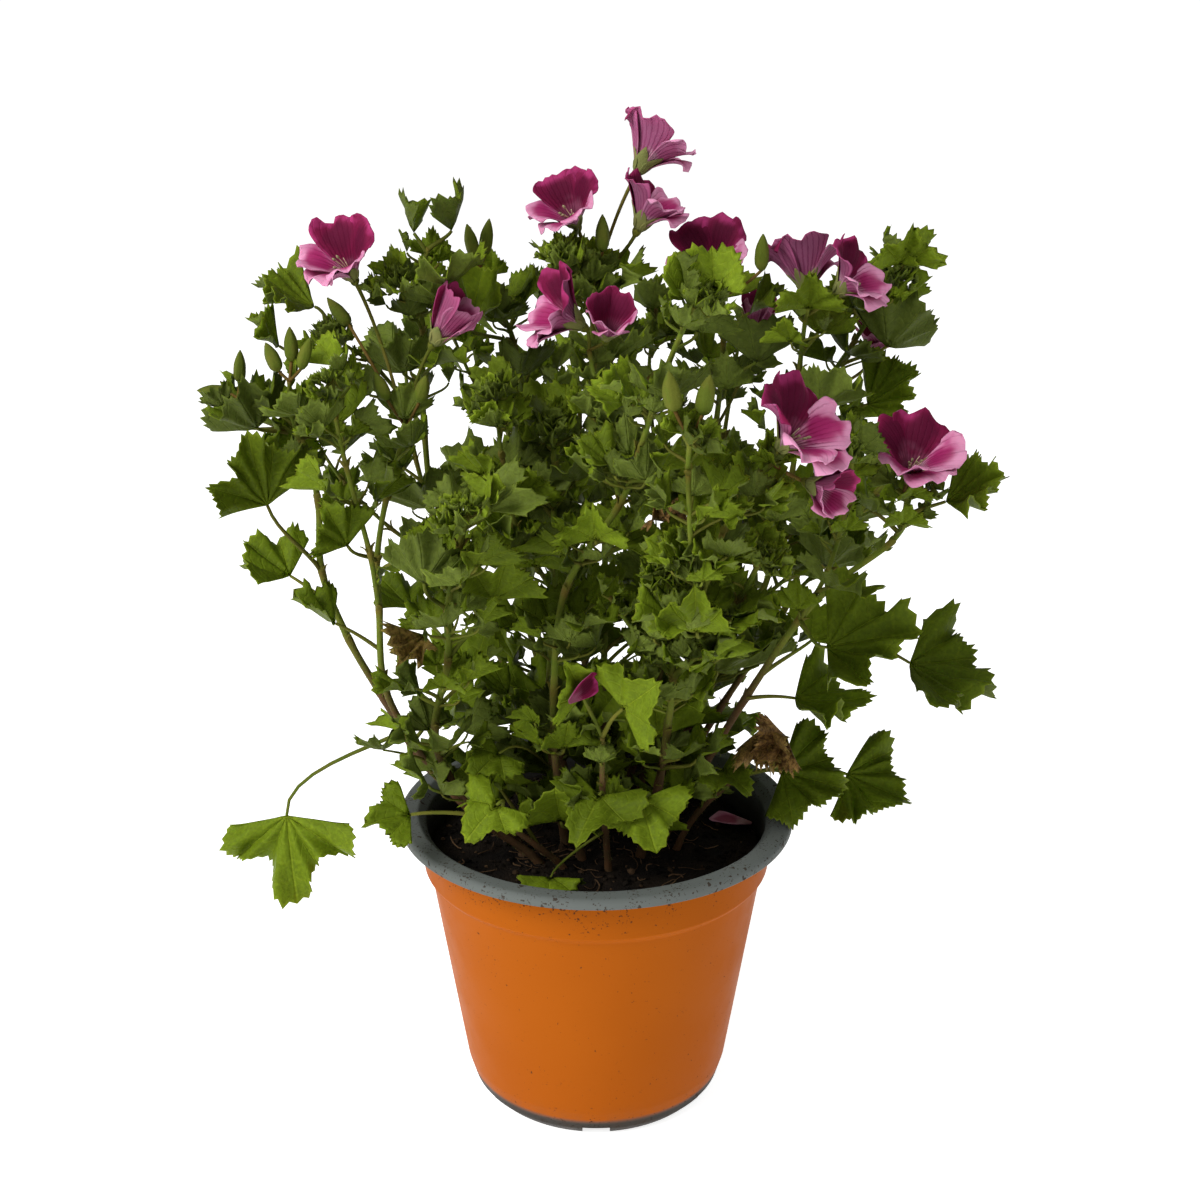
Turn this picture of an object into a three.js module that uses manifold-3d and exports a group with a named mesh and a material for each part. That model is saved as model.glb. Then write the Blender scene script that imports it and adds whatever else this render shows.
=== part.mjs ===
import * as THREE from 'three';
import Module from 'manifold-3d';

// A flowering pelargonium in a plain plastic nursery pot.
// Millimetres, +Z up, the origin under the middle of the pot, -Y towards the viewer.

const wasm = await Module();
wasm.setup();

// Driving dimensions of the pot and the soil
const POT_HEIGHT = 100;
const RIM_RADIUS = 65;
const RIM_INNER_RADIUS = 59;
const RIM_THICKNESS = 1.4;
const LIP_DROP = 3.4;
const SHOULDER_HEIGHT = 82;
const SHOULDER_STEP = 1.8;
const WALL_TOP_RADIUS = 57.4;
const WALL_BOTTOM_RADIUS = 44.6;
const CORNER_HEIGHT = 11;
const BASE_RADIUS = 39;
const WALL = 1.2;
const SLOT_COUNT = 6;
const SLOT_WIDTH = 9;
const SLOT_HEIGHT = 4;
const POT_SIDES = 26;
const SOIL_LEVEL = 87;
const SOIL_LUMP = 1.4;
const SOIL_SIDES = 18;
const ROOT_DEPTH = 8;
const HOLE_ROOM = 1;
const GAP = 0.3;

// Driving dimensions of the plant
const BLADE = 0.7;
const LEAF_PLEAT = 0.06;
const LEAF_NOTCH = 0.9;
const LOBE_WAVE = 3.9;
const LOBE_DEPTH = 0.14;
const BIG_LEAF = 20;
const PETIOLE_RADIUS = 0.8;
const YOUNG_STALK = 0.65;
const HUB_HALF = 0.55;
const BUD_RADIUS = 2.3;
const SEPAL_LENGTH = 6.5;
const PETAL_BLADE = 0.7;
const CLAW_RADIUS = 1.6;
const CLAW_HEIGHT = 0.9;
const WEB = 0.3;
const GOLDEN_ANGLE = 2.39996;

// Colours
const LEAF_GREEN = 0x4a7a22;
const STEM_GREEN = 0x6f8f3a;
const BURGUNDY = 0x7d0f3f;
const PINK = 0xd983b4;
const POT_ORANGE = 0xe57a1c;
const PEAT = 0x1c1613;

const v = (x, y, z) => new THREE.Vector3(x, y, z);
const vec = (p) => new THREE.Vector3(...p);
const UP = v(0, 0, 1);

// Seeded random numbers from 0 to 1
function seeded(seed) {
  let state = seed >>> 0;
  return () => {
    state = (state + 0x6d2b79f5) >>> 0;
    let t = Math.imul(state ^ (state >>> 15), 1 | state);
    t = (t + Math.imul(t ^ (t >>> 7), 61 | t)) ^ t;
    return ((t ^ (t >>> 14)) >>> 0) / 4294967296;
  };
}

// Solids from points and triangles
function solid(points, faces) {
  const mesh = new wasm.Mesh({
    numProp: 3,
    vertProperties: new Float32Array(points.flatMap((p) => [p.x, p.y, p.z])),
    triVerts: new Uint32Array(faces.flat()),
  });
  return new wasm.Manifold(mesh);
}

// Several solids joined in one, without the loose scraps that a join may leave
function join(solids) {
  const pieces = solids.reduce((whole, piece) => whole.add(piece)).decompose();
  return pieces.reduce((best, piece) => (piece.volume() > best.volume() ? piece : best));
}

// Loft through rings of equal length, closed with a fan at each end
function loft(rings) {
  const n = rings[0].length;
  const last = (rings.length - 1) * n;
  const faces = [];
  for (let i = 0; i + 1 < rings.length; i++) {
    for (let j = 0; j < n; j++) {
      const a = i * n + j;
      const b = i * n + ((j + 1) % n);
      faces.push([a, b, b + n], [a, b + n, a + n]);
    }
  }
  for (let j = 1; j + 1 < n; j++) faces.push([0, j + 1, j], [last, last + j, last + j + 1]);
  return solid(rings.flat(), faces);
}

// A curve through hand-set points
function curveOf(path) {
  return new THREE.CatmullRomCurve3(path.map(vec), false, 'catmullrom', 0.5);
}

// The world axis that lies furthest from a direction
function crossAxis(direction) {
  const size = [Math.abs(direction.x), Math.abs(direction.y), Math.abs(direction.z)];
  const least = size.indexOf(Math.min(...size));
  return v(least === 0 ? 1 : 0, least === 1 ? 1 : 0, least === 2 ? 1 : 0);
}

// A ring of points round a centre, square to a direction
function ringRound(centre, direction, reference, radius, sides) {
  const side = direction.clone().cross(reference).normalize();
  const rise = direction.clone().cross(side).normalize();
  return Array.from({ length: sides }, (_, j) => {
    const angle = (j / sides) * 2 * Math.PI;
    return centre.clone()
      .addScaledVector(side, radius * Math.cos(angle))
      .addScaledVector(rise, radius * Math.sin(angle));
  });
}

// A ring turned about its own centre so that it faces the next ring without a twist
function untwisted(ring, next) {
  const shifts = ring.map((_, k) => [...ring.slice(k), ...ring.slice(0, k)]);
  const twist = (shifted) => shifted.reduce((sum, p, i) => sum + p.distanceTo(next[i]), 0);
  return shifts.reduce((best, shifted) => (twist(shifted) < twist(best) ? shifted : best));
}

// A tapering tube along a curve
function tubeRings(path, startRadius, endRadius, sides, steps) {
  const curve = curveOf(path);
  const reference = crossAxis(curve.getPoint(1).sub(curve.getPoint(0)));
  return Array.from({ length: steps + 1 }, (_, i) => {
    const t = i / steps;
    const radius = startRadius + (endRadius - startRadius) * t;
    return ringRound(curve.getPoint(t), curve.getTangent(t), reference, radius, sides);
  });
}

function tube(path, startRadius, endRadius, sides, steps) {
  return loft(tubeRings(path, startRadius, endRadius, sides, steps));
}

// A main stem: straight down into its hole in the soil, then along its curve
function mainStem(path, startRadius, endRadius, sides) {
  const [x, y] = path[0];
  const rings = tubeRings(path, startRadius, endRadius, sides, path.length - 1);
  const level = (z) => ringRound(v(x, y, z), UP, v(0, 1, 0), startRadius, sides);
  const foot = level(SOIL_LEVEL + 0.6);
  const sunk = [level(SOIL_LEVEL - ROOT_DEPTH), foot].map((ring) => untwisted(ring, rings[1]));
  return loft([...sunk, ...rings.slice(1)]);
}

// A thin plate: the same triangles on both faces, and a wall round its border.
// halves are the steps from the middle of the blade to its upper face.
function plate(points, triangles, border, halves) {
  const n = points.length;
  const faces = triangles.flatMap(([a, b, c]) => [[a, b, c], [a + n, c + n, b + n]]);
  border.forEach((a, i) => {
    const b = border[(i + 1) % border.length];
    faces.push([a + n, b + n, b], [a + n, b, a]);
  });
  const top = points.map((p, i) => p.clone().add(halves[i]));
  const bottom = points.map((p, i) => p.clone().sub(halves[i]));
  return solid([...top, ...bottom], faces);
}

// Turning body: points are [radius, height] from the axis round to the axis
function turned(profile, sides) {
  const geometry = new THREE.LatheGeometry(profile.map(([r, z]) => new THREE.Vector2(r, z)), sides);
  const points = [];
  const index = new Map();
  const position = geometry.attributes.position;
  const key = Array.from({ length: position.count }, (_, i) => {
    const p = v(position.getX(i), -position.getZ(i), position.getY(i));
    const name = [p.x, p.y, p.z].map((c) => Math.round(c * 1000) + 0).join();
    if (!index.has(name)) index.set(name, points.push(p) - 1);
    return index.get(name);
  });
  const faces = [];
  for (let i = 0; i < geometry.index.count; i += 3) {
    const [a, b, c] = [0, 1, 2].map((k) => key[geometry.index.getX(i + k)]);
    if (a !== b && b !== c && c !== a) faces.push([a, b, c]);
  }
  return solid(points, faces);
}

// The pot: one thin plastic shell with a flat rim, a stacking step, a rounded foot and drain slots
function potSolid() {
  const slope = (WALL_TOP_RADIUS - SHOULDER_STEP - WALL_BOTTOM_RADIUS) / (SHOULDER_HEIGHT - CORNER_HEIGHT);
  const outer = (z) => WALL_BOTTOM_RADIUS + slope * (z - CORNER_HEIGHT);
  const profile = [
    [0, 0], [BASE_RADIUS, 0], [BASE_RADIUS + 3.4, 3.6],
    [WALL_BOTTOM_RADIUS, CORNER_HEIGHT], [outer(SHOULDER_HEIGHT - 2), SHOULDER_HEIGHT - 2],
    [outer(SHOULDER_HEIGHT) + SHOULDER_STEP, SHOULDER_HEIGHT], [WALL_TOP_RADIUS, POT_HEIGHT - RIM_THICKNESS],
    [RIM_RADIUS - RIM_THICKNESS, POT_HEIGHT - RIM_THICKNESS - 0.4],
    [RIM_RADIUS - RIM_THICKNESS + 0.2, POT_HEIGHT - LIP_DROP],
    [RIM_RADIUS, POT_HEIGHT - LIP_DROP], [RIM_RADIUS, POT_HEIGHT - 1], [RIM_RADIUS - 1, POT_HEIGHT],
    [RIM_INNER_RADIUS, POT_HEIGHT], [WALL_TOP_RADIUS - WALL, POT_HEIGHT - 3],
    [outer(SHOULDER_HEIGHT) + SHOULDER_STEP - WALL, SHOULDER_HEIGHT - 0.4],
    [outer(SHOULDER_HEIGHT - 2) - WALL, SHOULDER_HEIGHT - 2.6],
    [WALL_BOTTOM_RADIUS - WALL, CORNER_HEIGHT], [BASE_RADIUS - 1, WALL + 1], [0, WALL + 1],
  ];
  const shell = turned(profile, POT_SIDES);
  const slots = Array.from({ length: SLOT_COUNT }, (_, i) => {
    const angle = ((i + 0.5) / SLOT_COUNT) * 2 * Math.PI;
    const box = new THREE.BoxGeometry(14, SLOT_WIDTH, SLOT_HEIGHT * 2);
    box.rotateZ(angle);
    box.translate((BASE_RADIUS + 4) * Math.cos(angle), (BASE_RADIUS + 4) * Math.sin(angle), 0);
    return boxSolid(box);
  });
  return slots.reduce((rest, slot) => rest.subtract(slot), shell);
}

function boxSolid(geometry) {
  const corners = [];
  const position = geometry.attributes.position;
  const find = (i) => {
    const p = v(position.getX(i), position.getY(i), position.getZ(i));
    const known = corners.findIndex((c) => c.distanceTo(p) < 1e-4);
    return known < 0 ? corners.push(p) - 1 : known;
  };
  const faces = [];
  for (let i = 0; i < geometry.index.count; i += 3) {
    faces.push([0, 1, 2].map((k) => find(geometry.index.getX(i + k))));
  }
  return solid(corners, faces);
}

// The soil: fills the pot, with a lumpy top and a plain hole for every stem
function soilSolid(roots) {
  const random = seeded(71);
  const bed = WALL + 1 + GAP;
  const ring = (radius, height, lump) => Array.from({ length: SOIL_SIDES }, (_, j) => {
    const angle = (j / SOIL_SIDES) * 2 * Math.PI;
    const z = height + lump * (random() - 0.5) * 2;
    return v(radius * Math.cos(angle), radius * Math.sin(angle), z);
  });
  const body = loft([
    ring(BASE_RADIUS - 4, bed, 0), ring(WALL_BOTTOM_RADIUS - WALL - GAP - 0.6, CORNER_HEIGHT + 1, 0),
    ring(WALL_TOP_RADIUS - SHOULDER_STEP - WALL - GAP - 0.8, SHOULDER_HEIGHT - 4, 0),
    ring(WALL_TOP_RADIUS - SHOULDER_STEP - WALL - GAP, SOIL_LEVEL, 0.7),
    ring(42, SOIL_LEVEL, SOIL_LUMP), ring(14, SOIL_LEVEL, SOIL_LUMP),
  ]);
  const holes = roots.map(({ x, y, radius }) => {
    const hole = [SOIL_LEVEL - ROOT_DEPTH - GAP, SOIL_LEVEL + 10].map((z) => (
      ringRound(v(x, y, z), UP, v(0, 1, 0), radius + HOLE_ROOM, 4)
    ));
    return loft(hole);
  });
  return holes.reduce((rest, hole) => rest.subtract(hole), body);
}

// Leaf outline: tips and notches in turn over an open fan in three lobes, pleated and cupped, with
// its sides folded up. hub is the end of the stalk, ahead points to the middle tip, face is the
// upper side, deep is how deeply the three lobes part.
function leafRim({ hub, ahead, face, size, cup, spread, tips, deep }, grow) {
  const side = face.clone().cross(ahead);
  const count = tips * 2 - 1;
  return Array.from({ length: count }, (_, i) => {
    const s = (i / (count - 1)) * 2 - 1;
    const notch = i % 2;
    const lobe = 1 - deep * Math.sin(LOBE_WAVE * s) ** 2;
    const reach = (1 - 0.16 * Math.abs(s) ** 1.6) * lobe * (notch ? LEAF_NOTCH : 1);
    const fold = cup * (0.6 + 0.7 * Math.abs(s));
    const height = fold * reach ** 1.5 + LEAF_PLEAT * (notch ? 1 : -1) * reach;
    return hub.clone()
      .addScaledVector(ahead, size * grow * reach * Math.cos(s * spread))
      .addScaledVector(side, size * grow * reach * Math.sin(s * spread))
      .addScaledVector(face, size * height);
  });
}

// A blade alone, as a fan from its hub
function bladeSolid(leaf, grow, thickness) {
  const points = [leaf.hub, ...leafRim(leaf, grow)];
  const triangles = points.slice(2).map((_, i) => [0, i + 1, i + 2]);
  const half = leaf.face.clone().multiplyScalar(thickness / 2);
  return plate(points, triangles, points.map((_, i) => i), points.map(() => half));
}

// A leaf in one piece: the three-sided stalk opens into the blade at its hub
function leafSolid(leaf, { foot, end, thin }) {
  const { hub, ahead, face, cup } = leaf;
  const side = face.clone().cross(ahead);
  const half = face.clone().multiplyScalar((BLADE / 2) * Math.sqrt(1 + cup * cup));
  const rim = leafRim(leaf, 1);
  const n = rim.length;
  const right = hub.clone().addScaledVector(side, -HUB_HALF).add(half);
  const left = hub.clone().addScaledVector(side, HUB_HALF).add(half);
  const under = hub.clone().sub(half).addScaledVector(face, -0.3);
  const points = [right, left, under];
  points.push(...rim.map((p) => p.clone().add(half)), ...rim.map((p) => p.clone().sub(half)));
  const [R, L, U, top, low] = [0, 1, 2, 3, 3 + n];
  const middle = (n - 1) / 2;
  const faces = [
    [R, top + middle, L], [U, low, R], [R, low, top],
    [L, top + n - 1, low + n - 1], [L, low + n - 1, U],
  ];
  for (let i = 0; i + 1 < n; i++) {
    faces.push([i < middle ? R : L, top + i, top + i + 1], [U, low + i + 1, low + i]);
    faces.push([low + i, low + i + 1, top + i + 1], [low + i, top + i + 1, top + i]);
  }
  const along = end.clone().sub(foot).normalize();
  const approach = untwisted(ringRound(end, ahead, crossAxis(ahead), thin, 3), [left, right, under]);
  const start = untwisted(ringRound(foot, along, crossAxis(along), thin * 1.2, 3), approach);
  const from = points.length;
  const chain = [[from, from + 1, from + 2], [from + 3, from + 4, from + 5], [L, R, U]];
  for (let k = 0; k < 2; k++) {
    for (let j = 0; j < 3; j++) {
      const [a, b] = [chain[k][j], chain[k][(j + 1) % 3]];
      const [c, d] = [chain[k + 1][j], chain[k + 1][(j + 1) % 3]];
      faces.push([a, b, d], [a, d, c]);
    }
  }
  faces.push([from, from + 2, from + 1]);
  return solid([...points, ...start, ...approach], faces);
}

// Face and heading made square to each other
function leafOf(hub, ahead, face, size, cup, spread, tips, deep = LOBE_DEPTH) {
  const heading = ahead.clone().normalize();
  const upper = face.clone().addScaledVector(heading, -face.dot(heading)).normalize();
  return { hub, ahead: heading, face: upper, size, cup, spread, tips, deep };
}

// Where a leaf stalk ends, just behind the blade
function stalkEnd({ hub, ahead }) {
  return hub.clone().addScaledVector(ahead, -1.8);
}

// A pointed bud on its stalk, in one piece from the foot to the point
function budSolid(foot, base, tip, radius) {
  const axis = tip.clone().sub(base);
  const direction = axis.clone().normalize();
  const middle = foot.clone().lerp(base, 0.5).addScaledVector(direction, -0.1 * foot.distanceTo(base));
  const reference = crossAxis(axis);
  const start = middle.clone().sub(foot).normalize();
  const widths = [[0, 0.26], [0.32, 1], [0.72, 0.6], [1, 0.1]];
  const rings = [ringRound(foot, start, reference, 0.6, 4)];
  for (const [t, width] of widths) {
    rings.push(ringRound(base.clone().addScaledVector(axis, t), direction, reference, radius * width, 4));
  }
  rings[0] = untwisted(rings[0], rings[1]);
  return loft(rings);
}

// A flower stalk that opens into a calyx of five pointed sepals
function calyxSolid(foot, base, axis) {
  const neck = base.clone().addScaledVector(axis, -0.4 * base.distanceTo(foot));
  const reference = crossAxis(axis);
  const throat = ringRound(base.clone().addScaledVector(axis, -0.8), axis, reference, 0.9, 5);
  const start = neck.clone().sub(foot).normalize();
  const stalk = [ringRound(neck, axis, reference, 0.7, 5)];
  stalk.unshift(untwisted(ringRound(foot, start, crossAxis(start), 0.7, 5), stalk[0]));
  const star = ringRound(base, axis, reference, 1, 10).map((p, i) => {
    const reach = i % 2 ? 1.6 : SEPAL_LENGTH;
    return base.clone().addScaledVector(p.sub(base), reach * 0.85).addScaledVector(axis, reach * 0.5 - 0.5);
  });
  const rings = [...stalk, untwisted(throat, stalk[1])];
  const centre = base.clone().addScaledVector(axis, -GAP);
  const faces = [[0, 2, 1], [0, 3, 2], [0, 4, 3]];
  for (let i = 0; i < 2; i++) {
    for (let j = 0; j < 5; j++) {
      const a = i * 5 + j;
      const b = i * 5 + ((j + 1) % 5);
      faces.push([a, b, b + 5], [a, b + 5, a + 5]);
    }
  }
  for (let j = 0; j < 5; j++) {
    const a = 10 + j;
    const b = 10 + ((j + 1) % 5);
    const [tip, notch, after] = [15 + 2 * j, 16 + 2 * j, 15 + ((2 * j + 2) % 10)];
    faces.push([a, b, notch], [a, notch, tip], [b, after, notch]);
    faces.push([25, tip, notch], [25, notch, after]);
  }
  return solid([...rings.flat(), ...star, centre], faces);
}

// Where a corolla's surface lies: angle round the axis, along from the claws (0) to the rim (1)
function corollaPoint(bloom, angle, along, rise = 1, reach = 1) {
  const radius = CLAW_RADIUS + bloom.radius * reach * along ** 1.6;
  const height = CLAW_HEIGHT + bloom.height * rise * (1 - (1 - along) ** 1.7);
  return bloom.base.clone().addScaledVector(bloom.axis, height)
    .addScaledVector(outwardOf(bloom, angle), radius);
}

function outwardOf(bloom, angle) {
  return bloom.crown.clone().multiplyScalar(Math.sin(angle)).addScaledVector(bloom.wing, Math.cos(angle));
}

// One petal: a claw that widens into a rounded blade. across runs from -1 to 1 over the width.
function petalPoint(bloom, petal, across, along) {
  const sideways = bloom.axis.clone().cross(outwardOf(bloom, petal.angle));
  const rounded = along * (1 - 0.17 * across * across * along);
  const width = petal.width * (0.1 + 0.9 * Math.sin(Math.min(rounded, 0.8) * 1.9635)) * bloom.size;
  const ripple = 0.06 * bloom.size * along * Math.cos(across * 4.2 + petal.phase);
  return corollaPoint(bloom, petal.angle, rounded, petal.rise, petal.reach)
    .addScaledVector(bloom.axis, ripple)
    .addScaledVector(sideways, width * across);
}

// The petals of one colour: a web of claws round the throat that splits into the blades
function corollaSolid(bloom, list, edges) {
  const points = [];
  const halves = [];
  const put = (point, angle, along) => {
    const lean = along * bloom.open;
    const half = bloom.axis.clone().multiplyScalar(lean)
      .addScaledVector(outwardOf(bloom, angle), -(1 - 0.7 * lean)).normalize();
    halves.push(half.multiplyScalar(PETAL_BLADE / 2));
    return points.push(point) - 1;
  };
  const claws = edges.map((angle) => put(corollaPoint(bloom, angle, 0), angle, 0));
  const web = edges.map((angle) => put(corollaPoint(bloom, angle, WEB), angle, WEB));
  const triangles = [];
  const border = [claws[0], web[0]];
  list.forEach((petal, i) => {
    const row = (along, acrosses) => acrosses.map((across) => (
      put(petalPoint(bloom, petal, across, along), petal.angle, along)
    ));
    const [m0, m1] = row(0.62, [-1, 1]);
    const [r0, r1, r2, r3] = row(1, [-1, -0.4, 0.4, 1]);
    const [b0, b1, c0, c1] = [claws[i], claws[i + 1], web[i], web[i + 1]];
    triangles.push([b0, c0, c1], [b0, c1, b1], [c0, m0, m1], [c0, m1, c1]);
    triangles.push([m0, r0, r1], [m0, r1, m1], [m1, r1, r2], [m1, r2, r3]);
    border.push(m0, r0, r1, r2, r3, m1, c1);
  });
  border.push(...claws.slice(1).reverse());
  return plate(points, triangles, border, halves);
}

const UPPER_PETALS = [
  { angle: 0.94, width: 0.43, reach: 0.95, rise: 1.1, phase: 0.6 },
  { angle: 2.2, width: 0.43, reach: 0.95, rise: 1.1, phase: 2.4 },
];
const LOWER_PETALS = [
  { angle: -2.52, width: 0.36, reach: 1, rise: 0.95, phase: 2.9 },
  { angle: -1.57, width: 0.4, reach: 1.05, rise: 0.8, phase: 0.2 },
  { angle: -0.62, width: 0.36, reach: 1, rise: 0.95, phase: 1.2 },
];
const UPPER_EDGES = [0.3, 1.57, 2.84];
const LOWER_EDGES = [-2.84, -2.05, -1.09, -0.3];
const WHOLE_EDGES = [-2.84, -2.05, -1.09, 0.15, 1.57, 2.9];

// A bloom's own frame: the axis it opens along, and the side its dark upper petals stand on
function bloomFrame({ base, facing, crown, radius, open }) {
  const axis = vec(facing).normalize();
  const top = vec(crown);
  top.addScaledVector(axis, -top.dot(axis)).normalize();
  return {
    base: vec(base), axis, crown: top, wing: top.clone().cross(axis), open, size: radius,
    height: radius * (0.6 + 0.7 * (1 - open)), radius: radius * (0.25 + 0.7 * open),
  };
}

// Leafy stems. Each is a list of branches: the first stands in the soil, and the others start at a
// point of an earlier path. thick is the radius at both ends; leaves is [first, last, count] along
// the path; reach and size are the stalk length and the leaf radius low down; tuft counts the young
// leaves at the tip.
const STEMS = {
  left_outer: [
    {
      path: [[-26, 2, 87], [-40, 2, 98], [-57, 1, 115], [-69, 0, 138], [-79, -2, 159], [-86, -5, 183],
        [-86, -5, 206], [-91, 0, 224], [-106, 8, 230], [-113, 15, 234]],
      thick: [1.7, 0.75], leaves: [0.36, 0.6, 2], reach: 25, size: 24, tuft: 0,
    },
    {
      path: [[-91, 0, 224], [-93, -4, 234], [-92, -8, 244]],
      thick: [0.9, 0.7], leaves: [0.3, 0.5, 1], reach: 13, size: 16, tuft: 0,
    },
  ],
  left_dark: [
    {
      path: [[-22, -8, 87], [-38, -9, 99], [-52, -10, 116], [-61, -12, 132], [-67, -14, 150], [-67, -16, 174],
        [-67, -16, 190], [-64, -12, 208], [-58, -4, 229]],
      thick: [1.6, 0.8], leaves: [0.42, 0.95, 3], reach: 22, size: 21, tuft: 0,
    },
    {
      path: [[-67, -16, 174], [-68, -24, 195], [-74, -22, 221], [-77, -18, 235], [-78, -14, 246]],
      thick: [0.95, 0.6], leaves: [0.3, 0.85, 2], reach: 17, size: 20, tuft: 2,
    },
  ],
  left_front: [
    {
      path: [[-17, -16, 87], [-34, -20, 103], [-47, -23, 122], [-50, -25, 139], [-44, -38, 166],
        [-43, -46, 184],
        [-38, -56, 207], [-35, -60, 217]],
      thick: [1.5, 0.95], leaves: [0.5, 0.88, 2], reach: 20, size: 21, tuft: 3,
    },
  ],
  left_back: [
    {
      path: [[-17, 12, 87], [-32, 22, 105], [-44, 30, 125], [-54, 42, 172], [-57, 38, 219], [-55, 25, 254],
        [-55, 15, 269], [-51, 12, 281]],
      thick: [1.5, 0.7], leaves: [0.4, 0.85, 3], reach: 25, size: 24, tuft: 2,
    },
    {
      path: [[-55, 25, 254], [-59, 16, 264], [-60, 11, 271]],
      thick: [0.7, 0.6], leaves: [0, 0, 0], reach: 11, size: 16, tuft: 2,
    },
    {
      path: [[-57, 38, 219], [-70, 30, 240], [-82, 20, 252]],
      thick: [0.8, 0.6], leaves: [0.4, 0.6, 1], reach: 13, size: 18, tuft: 2,
    },
  ],
  middle_back_left: [
    {
      path: [[-8, 18, 87], [-15, 32, 120], [-25, 45, 157], [-23, 52, 208], [-27, 44, 246], [-33, 36, 261],
        [-37, 30, 272]],
      thick: [1.4, 0.7], leaves: [0.32, 0.86, 4], reach: 25, size: 24, tuft: 0,
    },
    {
      path: [[-23, 52, 208], [-40, 58, 228], [-48, 56, 246]],
      thick: [0.8, 0.6], leaves: [0.3, 0.8, 1], reach: 16, size: 20, tuft: 2,
    },
  ],
  centre_left: [
    {
      path: [[-10, -4, 87], [-14, -4, 115], [-15, -4, 143], [-13, -10, 177], [-13, -8, 194],
        [-13, -5, 216], [-13, -2, 228]],
      thick: [1.5, 0.8], leaves: [0.42, 0.92, 4], reach: 22, size: 24, tuft: 3,
    },
    {
      path: [[-13, -10, 177], [-24, -16, 200], [-28, -16, 222], [-30, -14, 240]],
      thick: [0.85, 0.6], leaves: [0.3, 0.85, 2], reach: 16, size: 20, tuft: 3,
    },
  ],
  centre_diagonal: [
    {
      path: [[-4, -14, 87], [-12, -20, 118], [-13, -26, 151], [-9, -32, 186], [7, -45, 216], [12, -60, 235],
        [18, -78, 260], [25, -88, 280]],
      thick: [1.4, 0.7], leaves: [0.5, 0.9, 2], reach: 18, size: 20, tuft: 3,
    },
    {
      path: [[7, -45, 216], [4, -32, 228], [1, -21, 240], [-2, -12, 254]],
      thick: [0.8, 0.7], leaves: [0.3, 0.5, 1], reach: 13, size: 18, tuft: 0,
    },
  ],
  centre_back: [
    {
      path: [[1, 10, 87], [2, 18, 125], [3, 28, 162], [2, 30, 214], [-1, 20, 258], [0, 17, 270]],
      thick: [1.5, 0.8], leaves: [0.36, 0.9, 4], reach: 25, size: 24, tuft: 0,
    },
    {
      path: [[-1, 20, 258], [-7, 11, 268], [-9, 7, 276]],
      thick: [0.8, 0.75], leaves: [0, 0, 0], reach: 11, size: 16, tuft: 3,
    },
  ],
  back_centre: [
    {
      path: [[8, 20, 87], [20, 36, 125], [33, 52, 169], [40, 46, 217], [41, 32, 249], [40, 24, 265]],
      thick: [1.4, 0.75], leaves: [0.35, 0.9, 4], reach: 25, size: 24, tuft: 0,
    },
    {
      path: [[33, 52, 169], [22, 62, 200], [18, 60, 232], [20, 54, 256]],
      thick: [0.85, 0.6], leaves: [0.3, 0.85, 2], reach: 18, size: 21, tuft: 2,
    },
  ],
  front_right: [
    {
      path: [[14, -12, 87], [20, -15, 114], [22, -30, 140], [23, -40, 161], [21, -48, 182], [21, -52, 197]],
      thick: [1.6, 0.8], leaves: [0.66, 0.9, 1], reach: 16, size: 20, tuft: 3,
    },
    {
      path: [[23, -40, 161], [31, -52, 175], [40, -60, 192], [45, -68, 206]],
      thick: [1.2, 0.8], leaves: [0.5, 0.7, 1], reach: 13, size: 18, tuft: 2,
    },
    {
      path: [[31, -52, 175], [29, -66, 193], [26, -75, 208], [24, -85, 235], [24, -90, 245]],
      thick: [0.9, 0.7], leaves: [0.35, 0.85, 2], reach: 15, size: 18, tuft: 3,
    },
    {
      path: [[29, -66, 193], [34, -75, 216], [42, -72, 229], [47, -70, 234]],
      thick: [0.8, 0.7], leaves: [0.35, 0.6, 1], reach: 13, size: 16, tuft: 0,
    },
    {
      path: [[23, -40, 161], [13, -42, 174], [4, -42, 187]],
      thick: [0.9, 0.7], leaves: [0, 0, 0], reach: 11, size: 16, tuft: 0,
    },
  ],
  right_dark: [
    {
      path: [[22, 2, 87], [35, 0, 113], [48, -5, 140], [64, -8, 168], [76, -8, 181], [91, -8, 193],
        [96, -10, 203], [94, -10, 210]],
      thick: [1.5, 0.8], leaves: [0.4, 0.8, 2], reach: 20, size: 21, tuft: 0,
    },
    {
      path: [[64, -8, 168], [70, -22, 188], [74, -26, 208], [76, -24, 226]],
      thick: [0.85, 0.6], leaves: [0.3, 0.85, 2], reach: 16, size: 20, tuft: 2,
    },
  ],
  right_middle: [
    {
      path: [[15, 9, 87], [33, 26, 120], [56, 40, 158], [65, 36, 202], [65, 25, 241], [65, 14, 260]],
      thick: [1.4, 0.75], leaves: [0.36, 0.92, 4], reach: 22, size: 24, tuft: 0,
    },
    {
      path: [[56, 40, 158], [76, 36, 178], [92, 30, 198], [100, 24, 214]],
      thick: [0.85, 0.6], leaves: [0.3, 0.85, 2], reach: 18, size: 21, tuft: 2,
    },
  ],
  right_back: [
    {
      path: [[20, 18, 87], [44, 42, 118], [69, 62, 151], [76, 58, 196], [78, 52, 229], [85, 46, 246],
        [93, 40, 262], [96, 38, 270]],
      thick: [1.4, 0.65], leaves: [0.34, 0.8, 4], reach: 22, size: 24, tuft: 2,
    },
    {
      path: [[69, 62, 151], [88, 70, 170], [98, 74, 190]],
      thick: [0.85, 0.6], leaves: [0.4, 0.8, 1], reach: 18, size: 21, tuft: 2,
    },
  ],
  far_left: [
    {
      path: [[-12, 26, 87], [-30, 48, 125], [-50, 66, 160], [-64, 72, 200], [-66, 66, 238]],
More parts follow.
